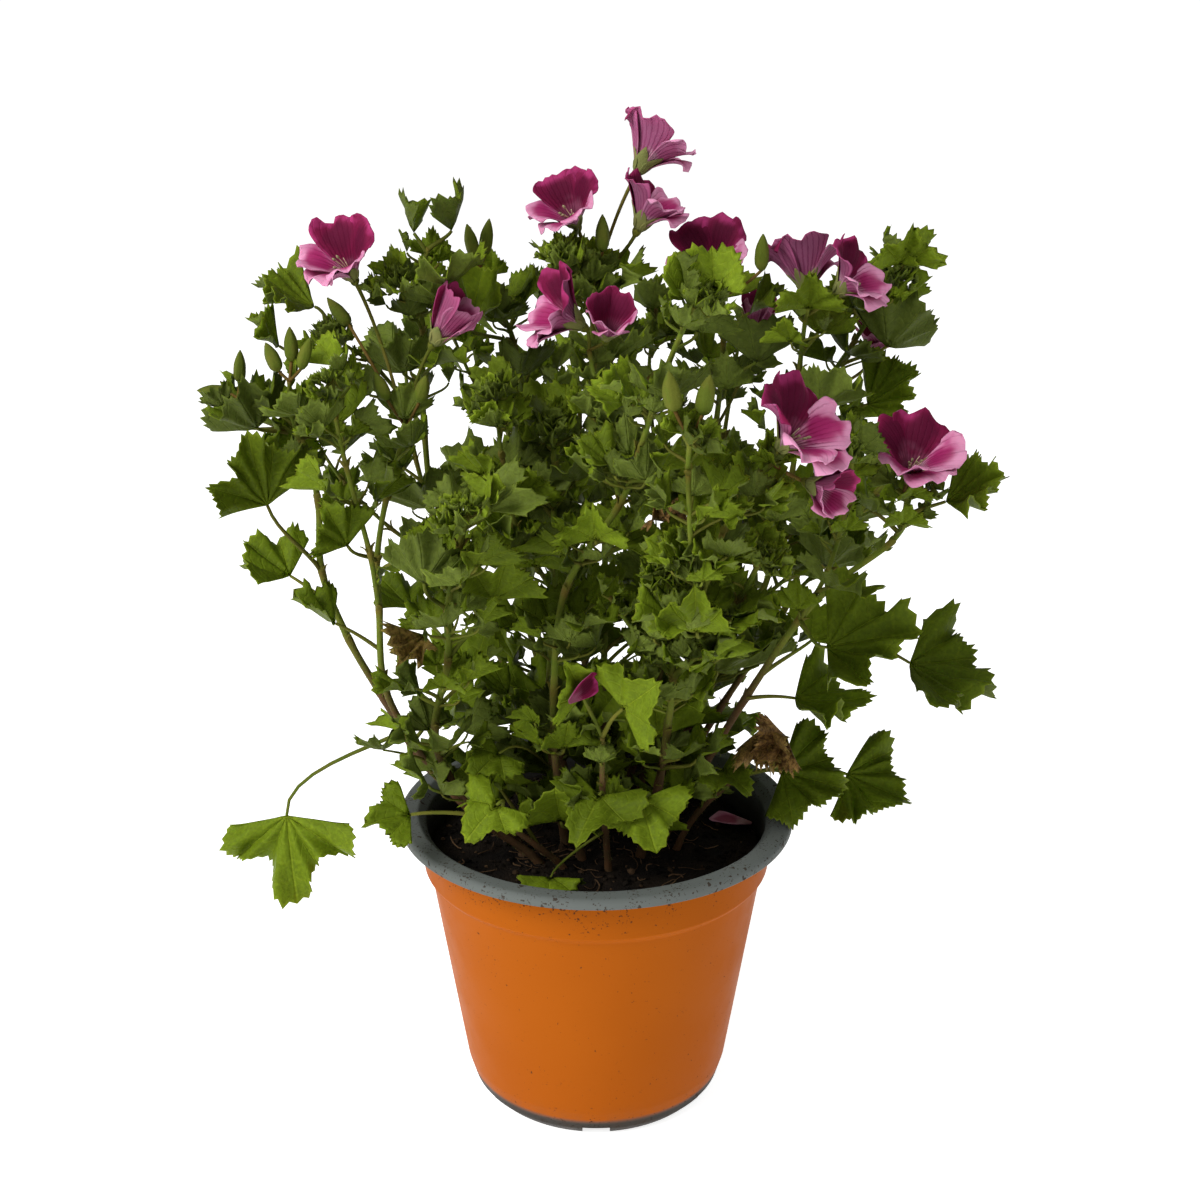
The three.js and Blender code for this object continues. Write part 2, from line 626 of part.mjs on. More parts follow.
      thick: [1.4, 0.65], leaves: [0.28, 0.9, 4], reach: 25, size: 24, tuft: 2,
    },
    {
      path: [[-50, 66, 160], [-72, 60, 178], [-86, 48, 198], [-94, 42, 214]],
      thick: [0.85, 0.6], leaves: [0.3, 0.85, 2], reach: 18, size: 21, tuft: 2,
    },
  ],
  far_middle: [
    {
      path: [[0, 28, 87], [-4, 52, 130], [-8, 78, 170], [-6, 88, 215], [-10, 80, 252]],
      thick: [1.4, 0.65], leaves: [0.3, 0.9, 4], reach: 25, size: 24, tuft: 2,
    },
    {
      path: [[-8, 78, 170], [-28, 90, 192], [-34, 92, 216]],
      thick: [0.85, 0.6], leaves: [0.35, 0.8, 1], reach: 18, size: 21, tuft: 2,
    },
  ],
  far_right: [
    {
      path: [[14, 28, 87], [26, 56, 128], [40, 80, 165], [46, 86, 205], [50, 78, 242]],
      thick: [1.4, 0.65], leaves: [0.28, 0.9, 4], reach: 25, size: 24, tuft: 2,
    },
    {
      path: [[40, 80, 165], [60, 91, 182], [74, 91, 204]],
      thick: [0.85, 0.6], leaves: [0.35, 0.8, 1], reach: 18, size: 21, tuft: 2,
    },
  ],
  low_left: [
    {
      path: [[-9, -21, 87], [-18, -27, 98], [-30, -31, 110]],
      thick: [1.3, 0.9], leaves: [0, 0, 0], reach: 11, size: 16, tuft: 0,
    },
  ],
  low_front: [
    {
      path: [[4, -22, 87], [3, -27, 104], [2, -32, 122], [2, -36, 140]],
      thick: [1.3, 0.8], leaves: [0, 0, 0], reach: 11, size: 16, tuft: 0,
    },
  ],
  low_right: [
    {
      path: [[26, -6, 87], [34, -8, 102], [46, -6, 113]],
      thick: [1.3, 0.9], leaves: [0, 0, 0], reach: 11, size: 16, tuft: 0,
    },
  ],
  low_back: [
    {
      path: [[4, 38, 87], [6, 46, 102], [6, 54, 114]],
      thick: [1.3, 0.9], leaves: [0, 0, 0], reach: 11, size: 16, tuft: 0,
    },
  ],
};

// Leaves with a place of their own: foot on a stem, hub and middle tip, the side that is the upper
// face, half the width of the fan in radians, how deep the blade is cupped and how deeply it is lobed
const BLADES = [
  {
    stem: 'left_outer', foot: [-86, -5, 183], hub: [-99, -18, 208], tip: [-105, -20, 232],
    face: [0.4, -0.7, 0.5], spread: 1.3, cup: 0.35, deep: 0.25,
  },
  {
    stem: 'left_outer', foot: [-91, 0, 224], hub: [-91, 14, 224], tip: [-105, 16, 236],
    face: [0.1, -0.4, 0.9], spread: 1.2, cup: 0.4, deep: 0.14,
  },
  {
    stem: 'left_dark', foot: [-67, -16, 190], hub: [-74, -27, 198], tip: [-80, -30, 212],
    face: [0.2, -0.7, 0.6], spread: 1.2, cup: 0.35, deep: 0.14,
  },
  {
    stem: 'left_dark', foot: [-61, -12, 132], hub: [-99, -20, 106], tip: [-97, -26, 78],
    face: [-0.15, -0.9, 0.3], spread: 1.4, cup: 0.12, deep: 0.36,
  },
  {
    stem: 'left_front', foot: [-43, -46, 184], hub: [-48, -60, 197], tip: [-48, -64, 213],
    face: [0.1, 0.8, 0.5], spread: 1.15, cup: 0.35, deep: 0.14,
  },
  {
    stem: 'left_front', foot: [-44, -38, 166], hub: [-30, -42, 186], tip: [-25, -49, 202],
    face: [0.2, -0.8, 0.5], spread: 1.25, cup: 0.3, deep: 0.14,
  },
  {
    stem: 'left_back', foot: [-82, 20, 252], hub: [-88, 20, 262], tip: [-107, 17, 268],
    face: [0.1, -0.35, 0.95], spread: 1.2, cup: 0.45, deep: 0.14,
  },
  {
    stem: 'left_back', foot: [-70, 30, 240], hub: [-97, 6, 252], tip: [-106, 0, 262],
    face: [0.2, -0.4, 0.9], spread: 1.1, cup: 0.4, deep: 0.14,
  },
  {
    stem: 'middle_back_left', foot: [-27, 44, 246], hub: [-39, 20, 258], tip: [-27, 15, 273],
    face: [-0.5, -0.5, 0.7], spread: 1.1, cup: 0.4, deep: 0.14,
  },
  {
    stem: 'centre_left', foot: [-14, -4, 115], hub: [-30, -30, 132], tip: [-38, -38, 128],
    face: [-0.2, -0.8, 0.6], spread: 2, cup: 0.1, deep: 0.3,
  },
  {
    stem: 'back_centre', foot: [41, 32, 249], hub: [48, 20, 260], tip: [60, 15, 267],
    face: [0.1, -0.35, 0.95], spread: 1.2, cup: 0.45, deep: 0.14,
  },
  {
    stem: 'right_dark', foot: [96, -10, 203], hub: [108, -6, 206], tip: [126, -10, 214],
    face: [0, -0.35, 0.95], spread: 1.2, cup: 0.35, deep: 0.14,
  },
  {
    stem: 'right_dark', foot: [64, -8, 168], hub: [71, -22, 164], tip: [98, -28, 170],
    face: [0, -0.3, 1], spread: 1.5, cup: 0.4, deep: 0.22,
  },
  {
    stem: 'right_dark', foot: [76, -8, 181], hub: [102, 4, 149], tip: [128, 0, 138],
    face: [0.4, -0.4, 0.85], spread: 1.5, cup: 0.4, deep: 0.22,
  },
  {
    stem: 'right_dark', foot: [48, -5, 140], hub: [65, 3, 137], tip: [89, 0, 134],
    face: [0.1, -0.2, 1], spread: 1.5, cup: 0.4, deep: 0.22,
  },
  {
    stem: 'right_dark', foot: [64, -8, 168], hub: [63, -14, 173], tip: [61, -16, 186],
    face: [0, -0.6, 0.6], spread: 1.1, cup: 0.4, deep: 0.14,
  },
  {
    stem: 'right_back', foot: [78, 52, 229], hub: [91, 48, 225], tip: [107, 43, 237],
    face: [0, -0.5, 0.85], spread: 1.25, cup: 0.35, deep: 0.14,
  },
  {
    stem: 'low_left', foot: [-30, -31, 110], hub: [-30, -46, 122], tip: [-40, -53, 114],
    face: [-0.15, -0.75, 0.65], spread: 2.1, cup: 0.1, deep: 0.36,
  },
  {
    stem: 'low_left', foot: [-18, -27, 98], hub: [-32, -20, 118], tip: [-38, -27, 134],
    face: [-0.2, -0.7, 0.7], spread: 1.9, cup: 0.2, deep: 0.3,
  },
  {
    stem: 'low_left', foot: [-30, -31, 110], hub: [-57, -38, 115], tip: [-72, -42, 114],
    face: [-0.1, -0.6, 0.8], spread: 1.4, cup: 0.3, deep: 0.3,
  },
  {
    stem: 'low_front', foot: [3, -27, 104], hub: [1, -37, 121], tip: [-6, -51, 112],
    face: [-0.1, -0.6, 0.8], spread: 2.1, cup: 0.12, deep: 0.36,
  },
  {
    stem: 'low_front', foot: [3, -27, 104], hub: [14, -36, 119], tip: [18, -48, 107],
    face: [0.2, -0.6, 0.8], spread: 1.8, cup: 0.15, deep: 0.3,
  },
  {
    stem: 'low_front', foot: [3, -27, 104], hub: [-14, -41, 95], tip: [-15, -53, 94],
    face: [0, -0.1, 1], spread: 1.7, cup: 0.05, deep: 0.2,
  },
  {
    stem: 'low_front', foot: [2, -36, 140], hub: [8, -50, 155], tip: [18, -58, 166],
    face: [0.1, -0.8, 0.5], spread: 1.7, cup: 0.25, deep: 0.25,
  },
  {
    stem: 'low_front', foot: [2, -36, 140], hub: [-4, -42, 156], tip: [-8, -51, 170],
    face: [-0.1, -0.8, 0.5], spread: 1.7, cup: 0.25, deep: 0.25,
  },
  {
    stem: 'low_right', foot: [46, -6, 113], hub: [61, -2, 113], tip: [82, -8, 109],
    face: [0.15, -0.8, 0.6], spread: 1.6, cup: 0.3, deep: 0.25,
  },
  {
    stem: 'low_right', foot: [46, -6, 113], hub: [86, 20, 102], tip: [106, 14, 94],
    face: [0.2, -0.7, 0.7], spread: 1.5, cup: 0.25, deep: 0.25,
  },
  {
    stem: 'low_right', foot: [34, -8, 102], hub: [40, -18, 121], tip: [49, -26, 117],
    face: [0.3, -0.5, 0.8], spread: 1.9, cup: 0.15, deep: 0.3,
  },
  {
    stem: 'low_back', foot: [6, 54, 114], hub: [22, 66, 119], tip: [34, 84, 116],
    face: [0.2, 0.4, 0.9], spread: 1.6, cup: 0.15, deep: 0.2,
  },
  {
    stem: 'low_back', foot: [6, 54, 114], hub: [-14, 66, 117], tip: [-26, 83, 112],
    face: [-0.2, 0.4, 0.9], spread: 1.6, cup: 0.15, deep: 0.2,
  },
  {
    stem: 'low_back', foot: [6, 46, 102], hub: [40, 50, 112], tip: [60, 58, 106],
    face: [0.4, 0.2, 0.9], spread: 1.5, cup: 0.2, deep: 0.2,
  },
  {
    stem: 'low_back', foot: [6, 46, 102], hub: [-38, 50, 112], tip: [-58, 58, 107],
    face: [-0.4, 0.2, 0.9], spread: 1.5, cup: 0.2, deep: 0.2,
  },
];

// Buds on their stalks: foot on a stem, base and point of the bud
const BUDS = [
  { stem: 'left_outer', foot: [-113, 15, 234], base: [-116, 16, 235.5], tip: [-128, 18, 236], radius: 1 },
  { stem: 'left_outer', foot: [-113, 15, 234], base: [-112, 15, 239], tip: [-111, 15, 251], radius: 0.9 },
  { stem: 'left_outer', foot: [-92, -8, 244], base: [-95, -8, 247], tip: [-99, -8, 257], radius: 1 },
  { stem: 'left_outer', foot: [-92, -8, 244], base: [-91, -8, 250], tip: [-91, -8, 262], radius: 1 },
  { stem: 'left_outer', foot: [-92, -8, 244], base: [-88, -10, 248], tip: [-84, -11, 259], radius: 0.9 },
  { stem: 'left_dark', foot: [-58, -4, 229], base: [-76, 10, 258], tip: [-84, 14, 267], radius: 1 },
  { stem: 'left_dark', foot: [-58, -4, 229], base: [-63, -7, 238], tip: [-67, -7, 248], radius: 1 },
  { stem: 'left_dark', foot: [-58, -4, 229], base: [-53, -10, 238], tip: [-50, -13, 248], radius: 1 },
  { stem: 'middle_back_left', foot: [-37, 30, 272], base: [-38, 30, 276], tip: [-41, 31, 288], radius: 1 },
  { stem: 'middle_back_left', foot: [-37, 30, 272], base: [-35, 29, 277], tip: [-33, 28, 290], radius: 1 },
  { stem: 'middle_back_left', foot: [-37, 30, 272], base: [-41, 28, 273], tip: [-49, 26, 280], radius: 0.9 },
  { stem: 'centre_back', foot: [0, 17, 270], base: [2, 12, 280], tip: [2, 10, 293], radius: 1 },
  { stem: 'back_centre', foot: [40, 24, 265], base: [50, 6, 275], tip: [50, 3, 288], radius: 1 },
  { stem: 'front_right', foot: [24, -90, 245], base: [20, -92, 253], tip: [18, -93, 265], radius: 1.1 },
  { stem: 'front_right', foot: [24, -90, 245], base: [27, -92, 252], tip: [29, -93, 264], radius: 1.1 },
  { stem: 'right_dark', foot: [94, -10, 210], base: [101, -4, 222], tip: [103, -2, 234], radius: 0.9 },
];

// Blooms: the stem and the joint that the flower stalk leaves, the base of the petals, the way the
// flower opens, the side of its dark petals, its radius and how far it has opened
const BLOOMS = [
  {
    name: 'far_left', stem: 'left_dark', foot: [-58, -4, 229], base: [-74, 10, 272],
    facing: [-0.3, -0.5, 0.8], crown: [0.5, 0.6, 0.5], radius: 15.5, open: 0.68,
  },
  {
    name: 'top_left', stem: 'centre_back', foot: [0, 17, 270], base: [-6, 18, 287],
    facing: [-0.35, -0.5, 0.8], crown: [0.3, 0.7, 0.6], radius: 14, open: 0.7,
  },
  {
    name: 'top_middle', stem: 'centre_back', foot: [0, 17, 270], base: [13, 18, 286],
    facing: [0.45, -0.1, 0.9], crown: [-0.8, 0.1, 0.4], radius: 14, open: 0.65,
  },
  {
    name: 'topmost', stem: 'centre_back', foot: [0, 17, 270], base: [13, 32, 302],
    facing: [0.5, 0.2, 0.85], crown: [-0.4, -0.2, 0.4], radius: 16, open: 0.68,
  },
  {
    name: 'back_middle', stem: 'back_centre', foot: [40, 24, 265], base: [37, 22, 272],
    facing: [-0.25, -0.55, 0.8], crown: [0.1, 0.8, 0.5], radius: 15, open: 0.8,
  },
  {
    name: 'back_right', stem: 'right_middle', foot: [65, 14, 260], base: [65, 14, 267],
    facing: [-0.1, 0.35, 0.9], crown: [-0.6, -0.6, 0.2], radius: 16, open: 0.65,
  },
  {
    name: 'right_upper', stem: 'right_middle', foot: [65, 14, 260], base: [73, 6, 268],
    facing: [0.6, -0.35, 0.7], crown: [-0.5, 0.2, 0.8], radius: 14, open: 0.75,
  },
  {
    name: 'centre', stem: 'centre_diagonal', foot: [-2, -12, 254], base: [-4, -11, 261],
    facing: [-0.8, -0.25, 0.55], crown: [0.5, 0, 0.85], radius: 15.5, open: 0.7,
  },
  {
    name: 'front', stem: 'front_right', foot: [47, -70, 234], base: [49, -71, 238],
    facing: [0.5, -0.42, 0.75], crown: [-0.6, 0.2, 0.7], radius: 17, open: 0.8,
  },
  {
    name: 'right', stem: 'right_dark', foot: [94, -10, 210], base: [95, -11, 215],
    facing: [0.08, -0.42, 0.9], crown: [-0.3, 0.6, 0.7], radius: 17, open: 0.75,
  },
];
const BUDDING = [
  {
    name: 'half_open_left', stem: 'left_dark', foot: [-58, -4, 229], base: [-49, 0, 254],
    facing: [0.55, -0.15, 0.8], crown: [-0.5, 0, 0.8], radius: 13, open: 0.1,
  },
  {
    name: 'closing_centre', stem: 'centre_diagonal', foot: [-2, -12, 254], base: [3, -14, 258],
    facing: [0.15, -0.6, 0.8], crown: [0, 0.6, 0.7], radius: 11, open: 0.35,
  },
  {
    name: 'front_low', stem: 'front_right', foot: [47, -70, 234], base: [58, -64, 227],
    facing: [0.7, -0.7, -0.1], crown: [0.2, 0.2, 1], radius: 10, open: 0.4,
  },
  {
    name: 'small_back', stem: 'right_back', foot: [78, 52, 229], base: [94, 60, 240],
    facing: [0.1, -0.4, 0.9], crown: [0, 0.6, 0.6], radius: 12, open: 0.5,
  },
  {
    name: 'small_middle', stem: 'back_centre', foot: [40, 46, 217], base: [53, 52, 248],
    facing: [0.1, -0.2, 0.95], crown: [0, 0.6, 0.6], radius: 10, open: 0.1,
  },
];

// The petal that lies on the soil: its place, its size and how far its sides curl up
const FALLEN_PETAL = { x: 45.5, y: 10, length: 15, width: 8.5, turn: -0.35, curl: 1.2 };

// The petal in a leaf: which of the leaves above, its size on the blade and the rim points it spans
const LODGED_PETAL = { leaf: 24, scale: 0.7, first: 2, last: 6 };

// Everything placed so far, to keep the stems, leaves and blooms of different nodes apart
const placed = [];

function remember(owner, piece, part) {
  placed.push({ owner, piece, part, box: piece.boundingBox() });
}

function boxesMeet(a, b) {
  return [0, 1, 2].every((k) => a.min[k] <= b.max[k] && b.min[k] <= a.max[k]);
}

function isClear(piece, passes) {
  const box = piece.boundingBox();
  return placed.every((other) => (
    passes(other) || !boxesMeet(box, other.box) || piece.intersect(other.piece).isEmpty()
  ));
}

// Woody stems and their shoots
const parts = Object.fromEntries(Object.keys(STEMS).map((name) => [name, []]));
const roots = [];
for (const [name, branches] of Object.entries(STEMS)) {
  branches.forEach(({ path, thick }, i) => {
    const steps = path.length - 1;
    const shoot = i === 0 ? mainStem(path, ...thick, 4) : tube(path, ...thick, 3, steps);
    parts[name].push(shoot);
    remember(name, tube(path, thick[0] + GAP, thick[1] + GAP, 5, steps), 'shoot');
  });
  const [x, y] = branches[0].path[0];
  roots.push({ x, y, radius: branches[0].thick[0] });
}

// Flower stalks, calyxes and petals
const bloomNodes = [];
for (const flower of [...BLOOMS, ...BUDDING]) {
  const calyx = calyxSolid(vec(flower.foot), vec(flower.base), vec(flower.facing).normalize());
  parts[flower.stem].push(calyx);
  remember(flower.stem, calyx, 'stalk');
}
for (const flower of BLOOMS) {
  const bloom = bloomFrame(flower);
  const upper = corollaSolid(bloom, UPPER_PETALS, UPPER_EDGES);
  const lower = corollaSolid(bloom, LOWER_PETALS, LOWER_EDGES);
  bloomNodes.push({ name: `bloom_${flower.name}_dark`, piece: upper, colour: BURGUNDY });
  bloomNodes.push({ name: `bloom_${flower.name}_pink`, piece: lower, colour: PINK });
}
for (const flower of BUDDING) {
  const whole = corollaSolid(bloomFrame(flower), [...LOWER_PETALS, ...UPPER_PETALS], WHOLE_EDGES);
  bloomNodes.push({ name: `bloom_${flower.name}`, piece: whole, colour: PINK });
}
bloomNodes.forEach(({ name, piece }) => remember(name, piece, 'petals'));
remember('fallen_petal', palePetal().translate(0, 0, SOIL_LEVEL + 2), 'petals');

for (const { stem, foot, base, tip, radius } of BUDS) {
  const bud = budSolid(vec(foot), vec(base), vec(tip), BUD_RADIUS * radius);
  parts[stem].push(bud);
  remember(stem, bud, 'stalk');
}

// A leaf is tried in one place after another until its blade and stalk clear what is there
function growLeaf(stem, tries) {
  const ownStem = (other) => other.owner === stem && other.part !== 'leaf';
  for (const { foot, leaf, thin } of tries) {
    const end = stalkEnd(leaf);
    const straight = [foot, foot.clone().lerp(end, 0.5), end].map((p) => [p.x, p.y, p.z]);
    const blade = bladeSolid(leaf, 1.03, BLADE + 2 * GAP);
    const stalk = tube(straight, thin + GAP, thin + GAP, 4, 1);
    if (isClear(blade, () => false) && isClear(stalk, ownStem)) {
      parts[stem].push(leafSolid(leaf, { foot, end, thin }));
      remember(stem, blade, 'leaf');
      remember(stem, stalk, 'stalk');
      return leaf;
    }
  }
  return null;
}

// Leaves with a place of their own turn about their stalk or shrink a little where they have to
const NUDGES = [
  [0, 1], [0.25, 1], [-0.25, 1], [0.5, 0.92], [-0.5, 0.92],
  [0.25, 0.82], [-0.25, 0.82], [0.75, 0.75], [-0.75, 0.75],
];
const ownPlace = BLADES.map(({ stem, foot, hub, tip, face, spread, cup, deep }) => {
  const ahead = vec(tip).sub(vec(hub));
  const tries = NUDGES.map(([turn, scale]) => {
    const heading = ahead.clone().normalize();
    const upper = vec(face).applyAxisAngle(heading, turn);
    const tips = ahead.length() > BIG_LEAF ? 7 : 5;
    const leaf = leafOf(vec(hub), heading, upper, ahead.length() * scale, cup, spread, tips, deep);
    return { foot: vec(foot), leaf, thin: PETIOLE_RADIUS };
  });
  return growLeaf(stem, tries);
});

// A burgundy petal that has dropped into a leaf: a wedge with the same folds, just above the blade
function lodgedPetal(leaf) {
  const { scale, first, last } = LODGED_PETAL;
  const small = { ...leaf, size: leaf.size * scale };
  const lift = leaf.face.clone().multiplyScalar((BLADE + PETAL_BLADE) * 0.55 + GAP);
  const points = [leaf.hub, ...leafRim(small, 1).slice(first, last + 1)].map((p) => p.clone().add(lift));
  const triangles = points.slice(2).map((_, i) => [0, i + 1, i + 2]);
  const half = leaf.face.clone().multiplyScalar(PETAL_BLADE / 2);
  return plate(points, triangles, points.map((_, i) => i), points.map(() => half));
}

const lodged = lodgedPetal(ownPlace[LODGED_PETAL.leaf]);
remember('lodged_petal', lodged, 'petals');

// Other leaves follow the stem in a spiral, on shorter stalks and smaller towards its tip
const TURNS = [0, 0.5, -0.5, 1, -1, 1.6, -1.6, 2.3, -2.3, 3.1];
let leafSeed = 1000;
function stemLeaf(stem, branch, joint, order, young) {
  leafSeed += 1;
  const random = seeded(leafSeed);
  const points = branch.path.map(vec);
  const t = joint / (points.length - 1);
  const low = Math.max(joint - 1, 0);
  const foot = young ? points.at(-1).lerp(points.at(-2), 0.05 + 0.08 * (order % 3))
    : points[low].lerp(points[low + 1], 0.3 + 0.12 * (order % 3));
  const stemward = curveOf(branch.path).getTangent(t);
  const start = order * GOLDEN_ANGLE + random() * 0.9;
  const shrink = young ? 0.4 + 0.2 * random() : 1 - 0.42 * t + 0.25 * (random() - 0.5);
  const outwards = v(foot.x, foot.y, 0).multiplyScalar(0.007);
  const tilt = random();
  const tries = TURNS.map((turn, k) => {
    const angle = start + turn;
    const around = v(Math.cos(angle), Math.sin(angle), 0);
    const smaller = 1 - 0.045 * k;
    const reach = branch.reach * shrink * (young ? 0.5 : 1) * (1 + 0.05 * (k % 3));
    const size = branch.size * shrink * smaller;
    const rise = young ? 0.85 : 0.55;
    const hub = foot.clone().addScaledVector(around, reach * 0.75)
      .addScaledVector(stemward, reach * rise);
    const ahead = around.clone().multiplyScalar(young ? 0.55 : 0.9)
      .addScaledVector(UP, young ? 0.8 : 0.2 + 0.5 * tilt);
    const face = v(0, 0, young ? 0.7 : 1).addScaledVector(around, -0.5 * tilt).add(outwards);
    const cup = young ? 0.45 + 0.25 * tilt : 0.3 + 0.35 * tilt;
    const leaf = leafOf(hub, ahead, face, size, cup, 1.2 + 0.35 * tilt, young ? 4 : 5);
    return { foot, leaf, thin: young ? YOUNG_STALK : PETIOLE_RADIUS };
  });
  return growLeaf(stem, tries);
}

for (const [stem, branches] of Object.entries(STEMS)) {
  branches.forEach((branch, b) => {
    const [first, last, count] = branch.leaves;
    const joints = branch.path.length - 1;
    for (let i = 0; i < count; i++) {
      const t = first + (last - first) * (count > 1 ? i / (count - 1) : 0.5);
      stemLeaf(stem, branch, Math.round(t * joints), i + b * 2, false);
    }
    for (let i = 0; i < branch.tuft; i++) stemLeaf(stem, branch, joints, i + b * 3, true);
  });
}

// A pale petal that has dropped, curled a little along its length
function palePetal() {
  const { x, y, length, width, turn, curl } = FALLEN_PETAL;
  const rows = [[0, 0.12], [0.35, 0.7], [0.7, 1], [1, 0.6]];
  const points = rows.flatMap(([along, wide]) => [-1, 0, 1].map((across) => {
    const p = v((along - 0.5) * length, (across * wide * width) / 2, curl * across * across * wide);
    return p.applyAxisAngle(UP, turn).add(v(x, y, 0));
  }));
  const triangles = [0, 1, 3, 4, 6, 7].flatMap((a) => [[a, a + 3, a + 4], [a, a + 4, a + 1]]);
  const border = [0, 3, 6, 9, 10, 11, 8, 5, 2, 1];
  return plate(points, triangles, border, points.map(() => v(0, 0, PETAL_BLADE / 2)));
}

// A loose piece let down from above until it rests on what is below it
function letDown(piece, onto) {
  const step = 0.1;
  let z = SOIL_LEVEL + 5;
  while (piece.translate(0, 0, z - step - GAP).intersect(onto).isEmpty()) z -= step;
  return piece.translate(0, 0, z);
}

// A mesh for each solid
function meshOf(name, piece, colour, roughness) {
  const { vertProperties, triVerts, numProp } = piece.getMesh();
  const geometry = new THREE.BufferGeometry();
  const positions = new Float32Array((vertProperties.length / numProp) * 3);
  for (let i = 0; i < positions.length / 3; i++) {
    positions.set(vertProperties.subarray(i * numProp, i * numProp + 3), i * 3);
  }
  geometry.setAttribute('position', new THREE.BufferAttribute(positions, 3));
  geometry.setIndex(new THREE.BufferAttribute(new Uint32Array(triVerts), 1));
  const material = new THREE.MeshStandardMaterial({ color: colour, roughness, flatShading: true });
  const mesh = new THREE.Mesh(geometry, material);
  mesh.name = name;
  return mesh;
}

const soil = soilSolid(roots);
const group = new THREE.Group();
group.add(meshOf('pot', potSolid(), POT_ORANGE, 0.55));
group.add(meshOf('soil', soil, PEAT, 0.95));
group.add(meshOf('fallen_petal_pink', letDown(palePetal(), soil), PINK, 0.5));
group.add(meshOf('fallen_petal_dark', lodged, BURGUNDY, 0.5));
for (const [name, solids] of Object.entries(parts)) {
  const green = name.startsWith('low') ? STEM_GREEN : LEAF_GREEN;
  group.add(meshOf(`stem_${name}`, join(solids), green, 0.6));
}
for (const { name, piece, colour } of bloomNodes) group.add(meshOf(name, piece, colour, 0.5));

export default group;
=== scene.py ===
import math

import bpy
import numpy as np
from bpy.props import FloatProperty, FloatVectorProperty, IntProperty, PointerProperty
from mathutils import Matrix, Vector


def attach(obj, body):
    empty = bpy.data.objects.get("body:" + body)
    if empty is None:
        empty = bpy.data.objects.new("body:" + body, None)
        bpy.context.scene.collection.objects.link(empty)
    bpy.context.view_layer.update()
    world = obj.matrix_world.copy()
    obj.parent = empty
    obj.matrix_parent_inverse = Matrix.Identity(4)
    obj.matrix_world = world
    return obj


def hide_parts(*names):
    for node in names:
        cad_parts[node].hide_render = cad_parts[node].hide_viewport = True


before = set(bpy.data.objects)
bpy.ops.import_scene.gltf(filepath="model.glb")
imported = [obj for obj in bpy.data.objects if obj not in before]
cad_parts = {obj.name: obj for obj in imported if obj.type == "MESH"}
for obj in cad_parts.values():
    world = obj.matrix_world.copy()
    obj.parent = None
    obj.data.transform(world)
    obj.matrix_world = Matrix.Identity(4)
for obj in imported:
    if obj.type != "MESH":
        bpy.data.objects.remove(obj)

bl_info = {
    "name": "Potted pelargonium",
    "version": (1, 0, 0),
    "blender": (4, 5, 0),
    "location": "View3D > Sidebar > Pelargonium",
    "description": "Builds a flowering pelargonium in its nursery pot over the packed model",
    "category": "Add Mesh",
}

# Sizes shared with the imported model, in millimetres
MM = 0.001
POT_HEIGHT = 100
RIM_RADIUS = 65
RIM_INNER_RADIUS = 59
RIM_THICKNESS = 1.4
LIP_DROP = 3.4
SHOULDER_HEIGHT = 82
SHOULDER_STEP = 1.8
WALL_TOP_RADIUS = 57.4
WALL_BOTTOM_RADIUS = 44.6
CORNER_HEIGHT = 11
BASE_RADIUS = 39
WALL = 1.2
SLOPE = (WALL_TOP_RADIUS - SHOULDER_STEP - WALL_BOTTOM_RADIUS) / (SHOULDER_HEIGHT - CORNER_HEIGHT)
SLOT_COUNT = 6
SLOT_WIDTH = 9
SLOT_HEIGHT = 4
SOIL_LEVEL = 87
ROOT_DEPTH = 8
BLADE = 0.7
LEAF_PLEAT = 0.06
LEAF_NOTCH = 0.9
LOBE_WAVE = 3.9
LOBE_DEPTH = 0.14
BIG_LEAF = 20
SEPAL_LENGTH = 6.5
CLAW_RADIUS = 1.6
CLAW_HEIGHT = 0.9
BUD_RADIUS = 2.3
GOLDEN_ANGLE = 2.39996
UP = np.array((0.0, 0.0, 1.0))

